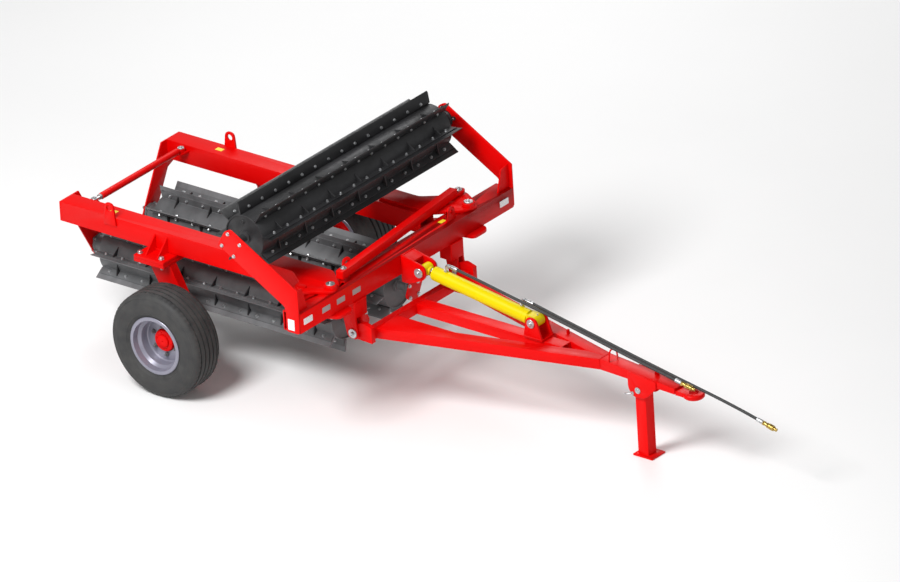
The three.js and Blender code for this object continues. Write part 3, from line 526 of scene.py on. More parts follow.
def add_hose(letter):
    route = [Vector(p) * MM for p in HOSE_ROUTES[letter]]
    curve = bpy.data.curves.new(f"hose_{letter}_cover", "CURVE")
    curve.dimensions = "3D"
    curve.bevel_depth = HOSE_DIAMETER / 2
    curve.bevel_resolution = 5
    curve.use_fill_caps = True
    spline = curve.splines.new("BEZIER")
    spline.bezier_points.add(len(route) - 1)
    for point, place in zip(spline.bezier_points, route):
        point.co = place
        point.handle_left_type = point.handle_right_type = "AUTO"
    spline.resolution_u = 10
    curve.materials.append(HOSE)
    cover = add_object(f"hose_{letter}_cover", curve)
    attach(cover, "drawbar")
    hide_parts(f"hose_{letter}")
    leaving = (route[1] - route[0]).normalized()
    arriving = (route[-1] - route[-2]).normalized()
    ferrules = Shape()
    ferrule(ferrules, route[0] + leaving * FERRULE_LENGTH, -leaving)
    ferrule(ferrules, route[-1] - arriving * FERRULE_LENGTH, arriving)
    crimps = ferrules.piece(f"hose_{letter}_ferrules", "drawbar", ZINC, bevel=0.0005)
    coupler = add_coupler(letter, route[-1] + arriving * SEAT_GAP, arriving)


for letter in HOSE_ROUTES:
    add_hose(letter)


# ---- Plates and tubes kept from the CAD model ----

RED_NODES = [
    "drawbar_centre_rail", "drawbar_cross_beam", "drawbar_nose", "cylinder_bracket", "drop_leg",
    "front_beam", "cross_stay", "cylinder_tower",
]
for side, _ in SIDES:
    RED_NODES += [f"{name}_{side}" for name in ("drawbar_rail", "jack_plate", "side_arm", "pivot_leg")]
    for name in ("wing_beam", "front_leg", "rear_leg", "arm_clamp", "wheel_arm"):
        RED_NODES.append(f"{side}_{name}")
for node in RED_NODES:
    refine(node)


# ---- Sizes shared with the frame ----

beam_low, beam_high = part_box("front_beam")
BEAM = 0.15
BEAM_UNDERSIDE = beam_low.z
BEAM_TOP = BEAM_UNDERSIDE + BEAM
arm_low, arm_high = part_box("side_arm_left")
ARM_INNER, ARM_OUTER = arm_low.y, arm_high.y
drum_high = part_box("centre_drum")[1]
DRUM_AXIS = middle_of("centre_drum")
TUBE_RADIUS = 0.17
TIP_RADIUS = 0.266
CARRIER_RADIUS = 0.226
SHAFT_RADIUS = 0.03
BLADES = 8
BLADE_PHASE = math.radians(10)


# ---- Drums ----

GUSSETS = 7
GUSSET_SPACING = 0.3
BOLT_CIRCLE = 0.2
CENTRE_DRUM_LENGTH, WING_DRUM_LENGTH = 2.15, 2.13
WING_DRUM_MIDDLE = -1.4


def add_drum(name, place, length, shaft_ends, hand, tube_material, bar_material):
    """A tube on stub shafts with eight carriers, each with gussets and a bolted blade."""
    half = length / 2
    tube = Shape()
    disc = 0.014
    wall = TUBE_RADIUS - 0.009
    end = half - 0.004
    turn_only = place.to_3x3()

    def outside(sign, reach):
        steps = [(0, reach), (SHAFT_RADIUS - 0.002, reach), (SHAFT_RADIUS, reach - 0.003)]
        steps += [(SHAFT_RADIUS, half + 0.004), (0.046, half), (0.046, half - disc), (wall, half - disc)]
        steps += [(wall, end), (TUBE_RADIUS - 0.001, end), (TUBE_RADIUS, end - 0.002)]
        return [(radius, sign * z) for radius, z in steps]

    tube.lathe(outside(-1, -shaft_ends[0]) + outside(1, shaft_ends[1])[::-1], place, 72)
    for sign in (-1, 1):
        filler = along(place @ Vector((0, 0.11, sign * (half - disc))), turn_only @ Vector((0, 0, sign)))
        tube.lathe(rod(0.017, -0.004, 0.005, top=0.003), filler, 20)
    tube.piece(f"{name}_tube", name, tube_material, bevel=0.0012, replaces=[name])

    plates, gussets, bars, bolts, welds = (Shape() for _ in range(5))
    back, front = 0.008 * hand, -0.010 * hand
    gusset = [(0.16, back * 0.9), (0.215, back * 0.9), (0.215, hand * 0.016), (0.15, hand * 0.075)]
    bar = [(0.176, 0), (0.176, front), (0.254, front), (TIP_RADIUS, front * 0.3), (TIP_RADIUS, 0)]
    plate_reach, weld_reach = half - 0.01, Vector((0, 0, half - 0.012))
    for i in range(BLADES):
        turned = place @ Matrix.Rotation(2 * math.pi * i / BLADES, 4, "Z")
        across = (TUBE_RADIUS - 0.004, CARRIER_RADIUS)
        plates.box(across, sorted((0, back)), (-plate_reach, plate_reach), turned)
        for k in range(GUSSETS):
            z = (k - (GUSSETS - 1) / 2) * GUSSET_SPACING
            gussets.prism(gusset, z - 0.004, z + 0.004, turned)
        bars.prism(bar, -half, half, turned)
        normal = turned.to_3x3() @ Vector((0, -hand, 0))
        for k in range(2 * GUSSETS):
            z = (k - (2 * GUSSETS - 1) / 2) * GUSSET_SPACING / 2
            turn = 0.4 + 1.7 * k + i
            bolts.bolt(turned @ Vector((BOLT_CIRCLE, front, z)), normal, 0.012, turn=turn)
            bolts.nut(turned @ Vector((BOLT_CIRCLE, back, z)), -normal, 0.012, turn=turn)
        for y in (-0.001 * hand, 0.009 * hand):
            foot = Vector((math.sqrt(TUBE_RADIUS ** 2 - y ** 2), y, 0))
            welds.weld(turned @ (foot - weld_reach), turned @ (foot + weld_reach), 0.005)
    plates.piece(f"{name}_carriers", name, tube_material, bevel=0.0012)
    # Gussets are drawn black on every drum. On the black centre drum that is its own colour; on the grey
    # wing drums the black is painted shade.
    gussets.piece(f"{name}_gussets", name, BLACK_TUBE, bevel=0.001, slot=SLOTS[tube_material])
    bars.piece(f"{name}_blades", name, bar_material, bevel=0.0012)
    bolts.piece(f"{name}_bolts", name, ZINC)
    welds.piece(f"{name}_welds", name, tube_material)


def drum_place(middle, axis, phase):
    turned = Matrix.Rotation(QUARTER, 4, axis) @ Matrix.Rotation(phase, 4, "Z")
    return Matrix.Translation(middle) @ turned


add_drum("centre_drum", drum_place(DRUM_AXIS, "X", BLADE_PHASE), CENTRE_DRUM_LENGTH,
         (-drum_high.y, drum_high.y), 1, BLACK_TUBE, BLACK_BAR)
for side, s in SIDES:
    low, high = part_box(f"{side}_drum")
    middle = middle_of(f"{side}_drum")
    middle.x = WING_DRUM_MIDDLE
    add_drum(f"{side}_drum", drum_place(middle, "Y", s * BLADE_PHASE), WING_DRUM_LENGTH,
             (low.x - middle.x, high.x - middle.x), s, GREY_TUBE, GREY_BAR)


# ---- Drum bearings ----

def bearing_housing(shape, bolts, place, depth, spread, turn):
    """A flanged housing on its mounting face, with four bolts on ears."""
    inner, boss = SHAFT_RADIUS + 0.001, 0.0145
    profile = [(inner, 0), (0.066, 0), (0.066, 0.012), (0.058, 0.02), (0.058, depth - 0.008)]
    profile += [(0.054, depth - 0.002), (0.046, depth - 0.002), (0.046, depth - 0.006)]
    shape.lathe([*profile, (inner, depth - 0.006)], place, 48)
    normal = place.to_3x3() @ Vector(UP)
    for i, corner in enumerate(polygon(4, spread, turn)):
        angle = turn + i * QUARTER
        shape.lathe(rod(boss, 0, boss, top=0.0015), place @ Matrix.Translation((*corner, 0)), 20)
        ear = [(0.05, -0.014), (spread, -0.014), (spread, 0.014), (0.05, 0.014)]
        shape.prism(ear, 0.0005, 0.012, place @ Matrix.Rotation(angle, 4, "Z"))
        bolts.bolt(place @ Vector((*corner, boss)), normal, 0.012, washer=False, turn=angle)


ARM_SLOPE = math.radians(30.2)  # the side arms' rise towards the rear
EIGHTH = math.pi / 4
ARM_BOLT_CIRCLE, LEG_BOLT_CIRCLE = 0.084, 0.066


def add_centre_bearing(side, s):
    housing, bolts = Shape(), Shape()
    mount = along((DRUM_AXIS.x, s * ARM_INNER, DRUM_AXIS.z), (0, -s, 0))
    first = EIGHTH - ARM_SLOPE
    in_mount = mount.to_3x3().inverted() @ Vector((math.cos(first), 0, math.sin(first)))
    start = math.atan2(in_mount.y, in_mount.x)
    seat = mount @ Matrix.Translation((0, 0, SEAT_GAP))
    bearing_housing(housing, bolts, seat, 0.054, ARM_BOLT_CIRCLE, start)
    housing.piece(f"centre_bearing_{side}_housing", "centre_frame", BLACK_TUBE, bevel=0.001,
                  replaces=[f"centre_bearing_{side}"])
    for i, (x, z) in enumerate(polygon(4, ARM_BOLT_CIRCLE, first)):
        bolts.bolt((DRUM_AXIS.x + x, s * ARM_OUTER, DRUM_AXIS.z + z), (0, s, 0), 0.014, turn=i)
    bolts.piece(f"centre_bearing_{side}_bolts", "centre_frame", ZINC)


def add_wing_bearing(side, end, inward, depth):
    leg_low, leg_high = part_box(f"{side}_{end}_leg")
    middle = middle_of(f"{side}_drum")
    face, outer = (leg_low.x, leg_high.x) if inward < 0 else (leg_high.x, leg_low.x)
    housing, bolts = Shape(), Shape()
    mount = along((face + inward * SEAT_GAP, middle.y, middle.z), (inward, 0, 0))
    bearing_housing(housing, bolts, mount, depth, LEG_BOLT_CIRCLE, EIGHTH)
    housing.piece(f"{side}_{end}_bearing_housing", f"{side}_wing", GREY_TUBE, bevel=0.001,
                  replaces=[f"{side}_{end}_bearing"])
    for i, (y, z) in enumerate(polygon(4, LEG_BOLT_CIRCLE, EIGHTH)):
        bolts.bolt((outer, middle.y + y, middle.z + z), (-inward, 0, 0), 0.014, turn=i)
    bolts.piece(f"{side}_{end}_bearing_bolts", f"{side}_wing", ZINC)


for side, s in SIDES:
    add_centre_bearing(side, s)
    add_wing_bearing(side, "front", -1, 0.048)
    add_wing_bearing(side, "rear", 1, 0.11)


# ---- Wheels ----

TYRE_RADIUS = 0.399
HUB_BOLT_CIRCLE, WHEEL_NUT_CIRCLE = 0.064, 0.108


def tyre_profile():
    """Ribbed tread, rounded shoulders, stepped sidewalls and an inner wall that closes the profile.

    The two numbers after it are where the tread starts in it, and how many points the tread has.
    """
    half_tread = 0.113
    crown = [(TYRE_RADIUS - 0.007, -half_tread)]
    for z in (-0.086, -0.043, 0.0, 0.043, 0.086):
        top = TYRE_RADIUS - 0.005 * (z / half_tread) ** 2
        groove = top - 0.012
        crown += [(top, z - 0.007), (groove, z - 0.0045), (groove, z + 0.0045), (top, z + 0.007)]
    crown.append((TYRE_RADIUS - 0.007, half_tread))
    wall = [
        (0.383, 0.1255), (0.371, 0.1355), (0.365, 0.139), (0.362, 0.137), (0.348, 0.1445),
        (0.33, 0.1488), (0.326, 0.15), (0.322, 0.15), (0.318, 0.149), (0.29, 0.1508), (0.268, 0.1485),
        (0.252, 0.1415), (0.248, 0.1425), (0.244, 0.1395), (0.234, 0.1285), (0.2225, 0.1235),
        (0.206, 0.1155), (0.2005, 0.11),
    ]
    inside = [(0.2005, 0.096), (0.24, 0.094), (0.368, 0.11)]
    lower = [(r, -z) for r, z in reversed(wall + inside)]
    return lower + crown + wall + inside, len(lower), len(crown)


def rim_profile():
    """A drop-centre rim with its welded disc."""
    seat, flange = 0.2, 0.221
    lip = [(seat - 0.009, 0.105), (seat - 0.006, 0.13), (flange - 0.004, 0.1305), (flange, 0.127)]
    well = [(flange - 0.001, 0.1235), (seat + 0.004, 0.117), (seat, 0.111), (seat - 0.001, 0.084),
            (seat - 0.022, 0.066), (seat - 0.022, 0.03)]
    outside = lip[1:] + well
    other_side = [(radius, -z) for radius, z in reversed(lip + well)]
    other_side += [(seat - 0.011, -0.086), (seat - 0.032, -0.068)]
    disc = [(seat - 0.032, -0.0055), (seat - 0.04, -0.0075), (0.14, -0.003), (0.087, -0.003)]
    disc += [(0.087, 0.005), (0.135, 0.005), (seat - 0.042, 0.0025), (seat - 0.034, 0.0085)]
    return outside + other_side + disc + [(seat - 0.032, 0.068), (seat - 0.011, 0.086), lip[0]]


def hub_profile():
    """A hub with a flange behind the disc and a cap over the stub axle's end."""
    bore = 0.031
    return [
        (bore, -0.15), (0.072, -0.15), (0.072, -0.042), (0.08, -0.036), (0.124, -0.028),
        (0.125, -0.007), (0.122, -0.0045), (0.082, -0.0045), (0.082, 0.018), (0.079, 0.0245),
        (0.074, 0.0265), (0.051, 0.0275), (0.0495, 0.034), (0.048, 0.0385), (0.044, 0.0412),
        (0.02, 0.042), (0.004, 0.042), (0.004, 0.012), (bore, 0.012),
    ]


def add_wheel(side, s):
    place = along(middle_of(f"{side}_tyre"), (0, s, 0))
    body, outward = f"{side}_wheel", (0, s, 0)
    profile, start, count = tyre_profile()
    shoulders = {start, start + 1, start + count - 2, start + count - 1}
    tyre = Shape().lathe(profile, place, 180, notch=(3, shoulders, 0.005))
    tyre.piece(f"{side}_tyre_rubber", body, RUBBER, smooth=28, replaces=[f"{side}_tyre"])
    rim = Shape().lathe(rim_profile(), place, 96)
    rim.piece(f"{side}_rim_steel", body, RIM, smooth=32, replaces=[f"{side}_rim"])

    hub, nuts, valve = Shape().lathe(hub_profile(), place, 64), Shape(), Shape()
    for i, at in enumerate(polygon(6, HUB_BOLT_CIRCLE, 0.3)):
        turn = i * math.pi / 3 + 0.3
        hub.bolt(place @ Vector((*at, 0.0265)), outward, 0.008, washer=False, turn=turn)
    hub.piece(f"{side}_hub_casting", body, RED, bevel=0.0008, replaces=[f"{side}_hub"])
    for i, at in enumerate(polygon(6, WHEEL_NUT_CIRCLE, 0.1)):
        turn = i * math.pi / 3 + 0.1
        nuts.nut(place @ Vector((*at, 0.005)), outward, 0.018, stub=0.6, turn=turn)
    nuts.piece(f"{side}_wheel_nuts", body, GREY_TUBE, bevel=0.0005)
    stem = [(0, 0), (0.006, 0), (0.006, 0.012), (0.0045, 0.014), (0.0045, 0.034), (0, 0.035)]
    leaning = place.to_3x3() @ Vector((0.35, 0, 1))
    valve.lathe(stem, along(place @ Vector((0.15, 0, 0.0035)), leaning), 16)
    valve.piece(f"{side}_tyre_valve", body, DARK)


for side, s in SIDES:
    add_wheel(side, s)


# ---- Hydraulic cylinder ----

BRACKET_PIN = middle_of("cylinder_bracket_pin")
rod_low, rod_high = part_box("cylinder_rod")
EYE_RADIUS = 0.04
TOWER_PIN = Vector((rod_low.x + EYE_RADIUS, 0, rod_high.z - EYE_RADIUS))
CYLINDER = BRACKET_PIN - TOWER_PIN
SLOPE = Matrix.Rotation(-math.atan2(CYLINDER.z, CYLINDER.x), 4, "Y")
CYLINDER_PLACE = Matrix.Translation(BRACKET_PIN) @ SLOPE  # x runs along it, to 0 at the bracket's pin
LENGTHWAYS = CYLINDER_PLACE @ Matrix.Rotation(QUARTER, 4, "Y")
BARREL_RADIUS, BARREL_BORE, ROD_BORE = 0.0525, 0.0415, 0.0255
BASE, GLAND = -0.062, -0.92
PORTS = ((-0.818, 0.0), (-0.145, 0.014))


def add_barrel():
    outer, waist, core = BARREL_RADIUS, BARREL_RADIUS - 0.002, 0.0005
    groove = outer - 0.0015
    gland = [(ROD_BORE, 0), (0.046, 0), (0.049, 0.003), (0.049, 0.012), (outer, 0.0135)]
    gland += [(outer, 0.03), (waist, 0.0315), (waist, 0.0345), (outer, 0.036)]
    base = [(outer, -0.04), (groove, -0.038), (groove, -0.034), (outer, -0.032), (outer, -0.004)]
    base += [(outer - 0.006, 0), (core, 0), (core, -0.035), (BARREL_BORE, -0.035)]
    profile = [(radius, GLAND + z) for radius, z in gland] + [(radius, BASE + z) for radius, z in base]
    profile += [(BARREL_BORE, GLAND + 0.028), (ROD_BORE, GLAND + 0.028)]
    barrel = Shape().lathe(profile, LENGTHWAYS, 64)
    reach = 0.044
    turns = [math.pi * k / 16 for k in range(1, 16)]
    eye = [(BASE - 0.004, -0.038), (0, -reach)]
    eye += [(reach * math.sin(turn), -reach * math.cos(turn)) for turn in turns]
    eye += [(0, reach), (BASE - 0.004, 0.038)]
    barrel.prism(eye, -reach, reach, CYLINDER_PLACE @ Matrix.Rotation(QUARTER, 4, "X"))
    boss = [(0, 0), (0.019, 0), (0.019, 0.0065), (0.0175, 0.0082), (0, 0.0082)]
    for x, y in PORTS:
        barrel.lathe(boss, CYLINDER_PLACE @ Matrix.Translation((x, y, 0.046)), 32)
    barrel.piece("cylinder_barrel_tube", "cylinder_barrel", YELLOW, bevel=0.0012,
                 replaces=["cylinder_barrel"])
    low, high = GLAND - 0.003, GLAND + 0.001
    ring = [(ROD_BORE, low), (0.032, low), (0.033, high), (ROD_BORE, high)]
    Shape().lathe(ring, LENGTHWAYS, 40).piece("cylinder_wiper_ring", "cylinder_barrel", DARK)


def add_fittings():
    """An elbow on each port, with its hexagon, its bend and its swivel nut."""
    fittings = Shape()
    turns = [QUARTER * k / 8 for k in range(9)]
    bend = [(0.012 * (1 - math.cos(turn)), 0, 0.03 + 0.022 * math.sin(turn)) for turn in turns]
    bend = [(0, 0, 0.024), *bend, (0.02, 0, 0.052), (0.026, 0, 0.052)]
    lengthwise = CYLINDER_PLACE.to_3x3() @ Vector((1, 0, 0))
    for x, y in PORTS:
        port = CYLINDER_PLACE @ Matrix.Translation((x, y, 0.0538))
        fittings.prism(polygon(6, 0.0165), 0, 0.013, port)
        fittings.lathe([(0, 0.012), (0.0115, 0.012), (0.0115, 0.03), (0, 0.031)], port, 24)
        fittings.tube([port @ Vector(point) for point in bend], 0.0105, 16)
        swivel = along(port @ Vector((0.018, 0, 0.0532)), lengthwise)
        fittings.prism(polygon(6, 0.0152), 0, 0.016, swivel)
        fittings.lathe(rod(0.0122, 0.015, 0.022), swivel, 24)
    fittings.piece("cylinder_fittings", "cylinder_barrel", ZINC, bevel=0.0006,
                   replaces=["rod_port_elbow", "base_port_elbow"])


def add_rod():
    """The chromed rod with its piston, and its eye between the tower's plates."""
    def from_eye(profile):
        return [(radius, z - CYLINDER.length) for radius, z in profile]

    rod_shape = [(0, 0.03), (0.025, 0.03), (0.025, 0.632), (0.041, 0.633), (0.041, 0.671), (0, 0.672)]
    Shape().lathe(from_eye(rod_shape), LENGTHWAYS, 48).piece(
        "cylinder_rod_chrome", "cylinder_rod", CHROME, bevel=0.0006, replaces=["cylinder_rod"])
    place = CYLINDER_PLACE @ Matrix.Translation((-CYLINDER.length, 0, 0)) @ Matrix.Rotation(QUARTER, 4, "X")
    inner, outer, half = 0.021, EYE_RADIUS, 0.044
    ring = [(inner, -half), (outer - 0.002, -half), (outer, -half + 0.002), (outer, half - 0.002)]
    eye = Shape().lathe([*ring, (outer - 0.002, half), (inner, half)], place, 48)
    neck = [(0, 0.034), (0.033, 0.034), (0.033, 0.048), (0.03, 0.052), (0, 0.052)]
    eye.lathe(from_eye(neck), LENGTHWAYS, 40)
    eye.piece("cylinder_rod_eye", "cylinder_rod", YELLOW, bevel=0.001)


def add_grease_nipple():
    place = along(CYLINDER_PLACE @ Vector((0.004, 0, 0.043)), UP)
    nipple = [(0, 0), (0.005, 0), (0.005, 0.006), (0.0035, 0.008), (0.0035, 0.012), (0, 0.0135)]
    Shape().lathe(nipple, place, 12).piece("cylinder_grease_nipple", "cylinder_barrel", ZINC)


add_barrel()
add_fittings()
add_rod()
add_grease_nipple()


# ---- Pins and their washers ----

PIN_CHAMFER = 0.0015
FORK_HEIGHT = 0.023  # a wing's hinge plate and the space between it and the beam


def pin_end(shape, at, direction, radius, bolt_size):
    """The end of a pin: a thick washer with a chamfer and a bolt through it."""
    place = along(at, direction)
    thick = 0.008
    shape.lathe(rod(radius, 0, thick, top=PIN_CHAMFER), place, 40)
    shape.bolt(place @ Vector((0, 0, thick)), direction, bolt_size)


def add_bracket_pin():
    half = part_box("cylinder_bracket")[1].y
    shape = Shape().lathe(rod(0.02, -half - 0.002, half + 0.002), along(BRACKET_PIN, LEFT), 40)
    for s in (-1, 1):
        pin_end(shape, BRACKET_PIN + Vector((0, s * (half + SEAT_GAP), 0)), (0, s, 0), 0.033, 0.014)
    shape.piece("cylinder_bracket_pin_bolt", "drawbar", ZINC, bevel=0.0006,
                replaces=["cylinder_bracket_pin"])


def add_tower_washers():
    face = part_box("cylinder_tower")[1].y
    shape = Shape()
    for s in (-1, 1):
        pin_end(shape, (TOWER_PIN.x, s * face, TOWER_PIN.z), (0, s, 0), 0.036, 0.015)
    shape.piece("cylinder_tower_pin_ends", "centre_frame", ZINC, bevel=0.0006)


def add_pivot_pins():
    for side, s in SIDES:
        low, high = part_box(f"pivot_pin_{side}")
        middle = middle_of(f"pivot_pin_{side}")
        leg_low, leg_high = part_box(f"pivot_leg_{side}")
        inner, outer = (low.y, leg_high.y) if s > 0 else (high.y, leg_low.y)
        ends = sorted((inner, outer + s * 0.002))
        place = along((middle.x, 0, middle.z), LEFT)
        shape = Shape().lathe(rod(0.02, *ends, foot=PIN_CHAMFER), place, 40)
        pin_end(shape, (middle.x, outer + s * SEAT_GAP, middle.z), (0, s, 0), 0.036, 0.016)
        shape.piece(f"pivot_pin_{side}_bolt", "centre_frame", ZINC, bevel=0.0006,
                    replaces=[f"pivot_pin_{side}"])


def add_hinge_pins():
    top = BEAM_TOP + FORK_HEIGHT + SEAT_GAP
    under = BEAM_UNDERSIDE - FORK_HEIGHT - SEAT_GAP
    lower_boss = [(0, under - 0.024), (0.038, under - 0.024), (0.04, under - 0.021), (0.04, under)]
    for side, _ in SIDES:
        node = f"wing_hinge_pin_{side}"
        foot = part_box(node)[0].z + 0.004
        middle = middle_of(node)
        place = along((middle.x, middle.y, 0), UP)
        boss = Shape().lathe(rod(0.045, top, top + 0.027, top=0.003), place, 48)
        boss.lathe([*lower_boss, (0, under)], place, 48)
        boss.piece(f"wing_hinge_{side}_boss", "centre_frame", RED, bevel=0.0012)
        pin = Shape().lathe(rod(0.025, foot, top + 0.02, foot=0.002), place, 48)
        pin_end(pin, (middle.x, middle.y, top + 0.027), UP, 0.033, 0.013)
        pin.piece(f"wing_hinge_{side}_pin", "centre_frame", ZINC, bevel=0.0006, replaces=[node])


def add_jack_pin():
    """The jack's pin, with a washer and a split pin at each end."""
    low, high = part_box("jack_pin")
    middle = middle_of("jack_pin")
    ends = {"top": PIN_CHAMFER, "foot": PIN_CHAMFER}
    shape = Shape().lathe(rod(0.014, low.y, high.y, **ends), along((middle.x, 0, middle.z), LEFT), 32)
    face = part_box("jack_plate_left")[1].y + SEAT_GAP
    washer = [(0.0145, 0), (0.024, 0), (0.024, 0.004), (0.0145, 0.004)]
    for s in (-1, 1):
        shape.lathe(washer, along((middle.x, s * face, middle.z), (0, s, 0)), 32)
        centre, half = Vector((middle.x, s * (face + 0.0062), middle.z)), Vector((0.02, 0, -0.002))
        shape.tube([centre - half, centre + half], 0.0022, 8)
    shape.piece("jack_pin_steel", "drawbar", ZINC, bevel=0.0005, replaces=["jack_pin"])


add_bracket_pin()
add_tower_washers()
add_pivot_pins()
add_hinge_pins()
add_jack_pin()


# ---- Hitch ring, hose holder and lock bar ----

def add_hitch_ring():
    low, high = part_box("hitch_ring")
    radius, half, hole = high.y, (high.z - low.z) / 2, 0.03
    centre = Vector((high.x - radius, 0, (low.z + high.z) / 2))
    upper = [(radius, 0.006), (radius - 0.002, half - 0.006), (radius - 0.008, half)]
    upper += [(hole + 0.006, half), (hole, half - 0.007)]
    lower = [(r, -z) for r, z in reversed(upper)]
    shape = Shape().lathe(lower[1:] + upper + lower[:1], along(centre, UP), 96)
    shape.box((low.x, centre.x - 0.05), (-0.052, 0.052), (low.z + 0.001, high.z - 0.001))
    shape.piece("hitch_ring_forging", "drawbar", RED, bevel=0.0015, replaces=["hitch_ring"])


def add_hose_holder():
    """A round rod bent into an arch that leans in a little."""
    low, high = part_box("hose_holder")
    radius, corner = 0.006, 0.022
    x = middle_of("hose_holder").x
    foot, wide = low.z, high.y - radius
    shoulder = high.z - radius - corner
    route = [(x, -wide, foot), (x, -wide + 0.008, shoulder)]
    for side in (-1, 1):
        for k in range(7):
            angle = QUARTER * (k / 6 if side < 0 else 1 - k / 6)
            y = side * (wide - 0.01 - corner + corner * math.cos(angle))
            route.append((x, y, shoulder + corner * math.sin(angle)))
    route += [(x, wide - 0.008, shoulder), (x, wide, foot)]
    shape = Shape().tube(route, radius, 14)
    shape.piece("hose_holder_rod", "drawbar", RED, replaces=["hose_holder"])


def add_lock_bar():
    """A tube with an eye at its left end, and an eye on a thread with a nut at its right end."""
    x = middle_of("rear_lock_bar").x
    eye_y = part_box("rear_lock_bar")[1].y - 0.03
    eye_low, axis_z = 1.0003, 1.0163
    tube_end = eye_y - 0.075
    place = along((x, 0, axis_z), LEFT)
    eyes = [along((x, y, 0), UP) for y in (-eye_y, eye_y)]
    bar = Shape().lathe(rod(0.025, -tube_end, tube_end + 0.03, top=0.002, foot=0.002), place, 40)
    bore, outer, eye_top = 0.013, 0.03, eye_low + 0.024
    ring = [(bore, eye_low), (outer - 0.002, eye_low), (outer, eye_low + 0.002)]
    ring += [(outer, eye_top - 0.002), (outer - 0.002, eye_top), (bore, eye_top)]
    for eye in eyes:
        bar.lathe(ring, eye, 40)
    bar.lathe(rod(0.013, tube_end + 0.029, eye_y - 0.02), place, 24)
    bar.piece("rear_lock_bar_tube", "lock_bar", RED, bevel=0.0008, replaces=["rear_lock_bar"])

    steel = Shape()
    start, turns = -eye_y + 0.02, 20
    thread = [(0, start)]
    for k in range(turns):
        y = start + (-start - tube_end) * k / turns
        thread += [(0.0118, y), (0.0132, y + 0.0011)]
    steel.lathe([*thread, (0.012, -tube_end + 0.001), (0, -tube_end + 0.001)], place, 24)
    steel.prism(polygon(6, 0.022), -tube_end - 0.02, -tube_end - 0.001, place)
    for eye in eyes:
        pin_end(steel, eye @ Vector((0, 0, eye_top + 0.0005)), UP, 0.024, 0.0115)
    steel.piece("rear_lock_bar_thread", "lock_bar", ZINC, bevel=0.0005)


add_hitch_ring()
add_hose_holder()
add_lock_bar()


# ---- Plates, reflectors, labels and fasteners on the frame ----

def slab(shape, centre, size):
    x, y, z = (sorted((c - d / 2, c + d / 2)) for c, d in zip(centre, size))
    return shape.box(x, y, z)


def add_front_plates():
    face = beam_high.x
    for n, y in enumerate((-0.917, -0.752, -0.575)):
        plate = slab(Shape(), (face + 0.001, y, 0.969), (0.0015, 0.09, 0.042))
        plate.piece(f"blank_plate_{n + 1}", "centre_frame", SILVER_FILM, bevel=0.0004)
    front, sides = Shape(), Shape()
    for y in (-1.125, 1.105):
        slab(front, (arm_high.x + 0.004, y, 0.97), (0.007, 0.095, 0.046))
    front.piece("front_reflectors", "centre_frame", LENS, bevel=0.002)
    for _, s in SIDES:
        slab(sides, (-0.066, s * (ARM_OUTER + 0.0035), 0.953), (0.058, 0.006, 0.083))
    sides.piece("side_reflectors", "centre_frame", LENS, bevel=0.002)


def add_labels():
    thick = 0.0006
    z = BEAM_TOP + thick
    beam = Shape()
    for x, y in ((-0.124, -0.491), (-0.088, 0.516)):
        slab(beam, (x, y, z), (0.035, 0.06, thick))
    beam.piece("beam_labels", "centre_frame", YELLOW_FILM)
    for side, s in SIDES:
        label = slab(Shape(), (-2.18, s * 0.6, z), (0.06, 0.04, thick))
        label.piece(f"{side}_wing_label", f"{side}_wing", YELLOW_FILM)


def add_clamp_bolts():
    for side, s in SIDES:
        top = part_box(f"{side}_arm_clamp")[0].z + 0.025
        shape = Shape()
        for x in (-1.803, -1.608):
            shape.bolt((x, s * 0.783, top), UP, 0.022)
            shape.nut((x, s * 0.783, top - 0.0503), (0, 0, -1), 0.022, stub=0.6)
        shape.piece(f"{side}_clamp_bolts", f"{side}_wing", ZINC, bevel=0.0006)


def add_stay_ends():
    """The cross stay's bolts at its eye and its near end, and the cap that closes its near end."""
    low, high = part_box("cross_stay")
    eye, near = Vector((-0.235, 0.892, 0)), Vector((-0.075, -0.64, 0))
    reach = (eye - near).normalized()
    bolt_at, end = near + reach * 0.03, near - reach * 0.022
    shape = Shape()
    pin_end(shape, (eye.x, eye.y, low.z + 0.0203), UP, 0.03, 0.016)
    pin_end(shape, (bolt_at.x, bolt_at.y, high.z), UP, 0.024, 0.014)
    shape.piece("stay_bolts", "centre_frame", ZINC, bevel=0.0006)
    turned = Matrix.Rotation(math.atan2(reach.y, reach.x), 4, "Z")
    place = Matrix.Translation((end.x, end.y, high.z - 0.03)) @ turned
    cap = Shape().box((-0.004, 0.003), (-0.028, 0.028), (-0.028, 0.028), place)
    cap.piece("stay_end_cap", "centre_frame", RED, bevel=0.0015)


def add_drawbar_details():
    """A peg on the left rail and a small upright lug on the nose."""
    top, nose_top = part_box("drawbar_rail_left")[1].z, 0.634
    peg = Shape().lathe(rod(0.012, 0, 0.031, top=0.003), along((1.31, 0.15, top), UP), 24)
    lug = [(-0.022, 0), (0.022, 0), (0.014, 0.055), (-0.014, 0.055)]
    upright = Matrix.Translation((2.19, 0.04, nose_top)) @ Matrix.Rotation(QUARTER, 4, "X")
    peg.prism(lug, -0.006, 0.006, upright)
    peg.piece("drawbar_peg", "drawbar", RED, bevel=0.0015)


def add_arm_gussets():
    """Upright gussets between the front beam and the inner faces of the side arms."""
    across = Matrix(((0, 0, 1, 0), (1, 0, 0, 0), (0, 1, 0, 0), (0, 0, 0, 1)))
    y, foot = ARM_INNER - 0.0005, BEAM_TOP + 0.0005
    corners = [(y, foot), (y - 0.127, foot), (y - 0.08, BEAM_TOP + 0.165), (y, BEAM_TOP + 0.182)]
    for side, s in SIDES:
        gusset = Shape().prism([(s * y, z) for y, z in corners], -0.042, -0.03, across)
        gusset.piece(f"side_arm_{side}_gusset", "centre_frame", RED, bevel=0.0015)


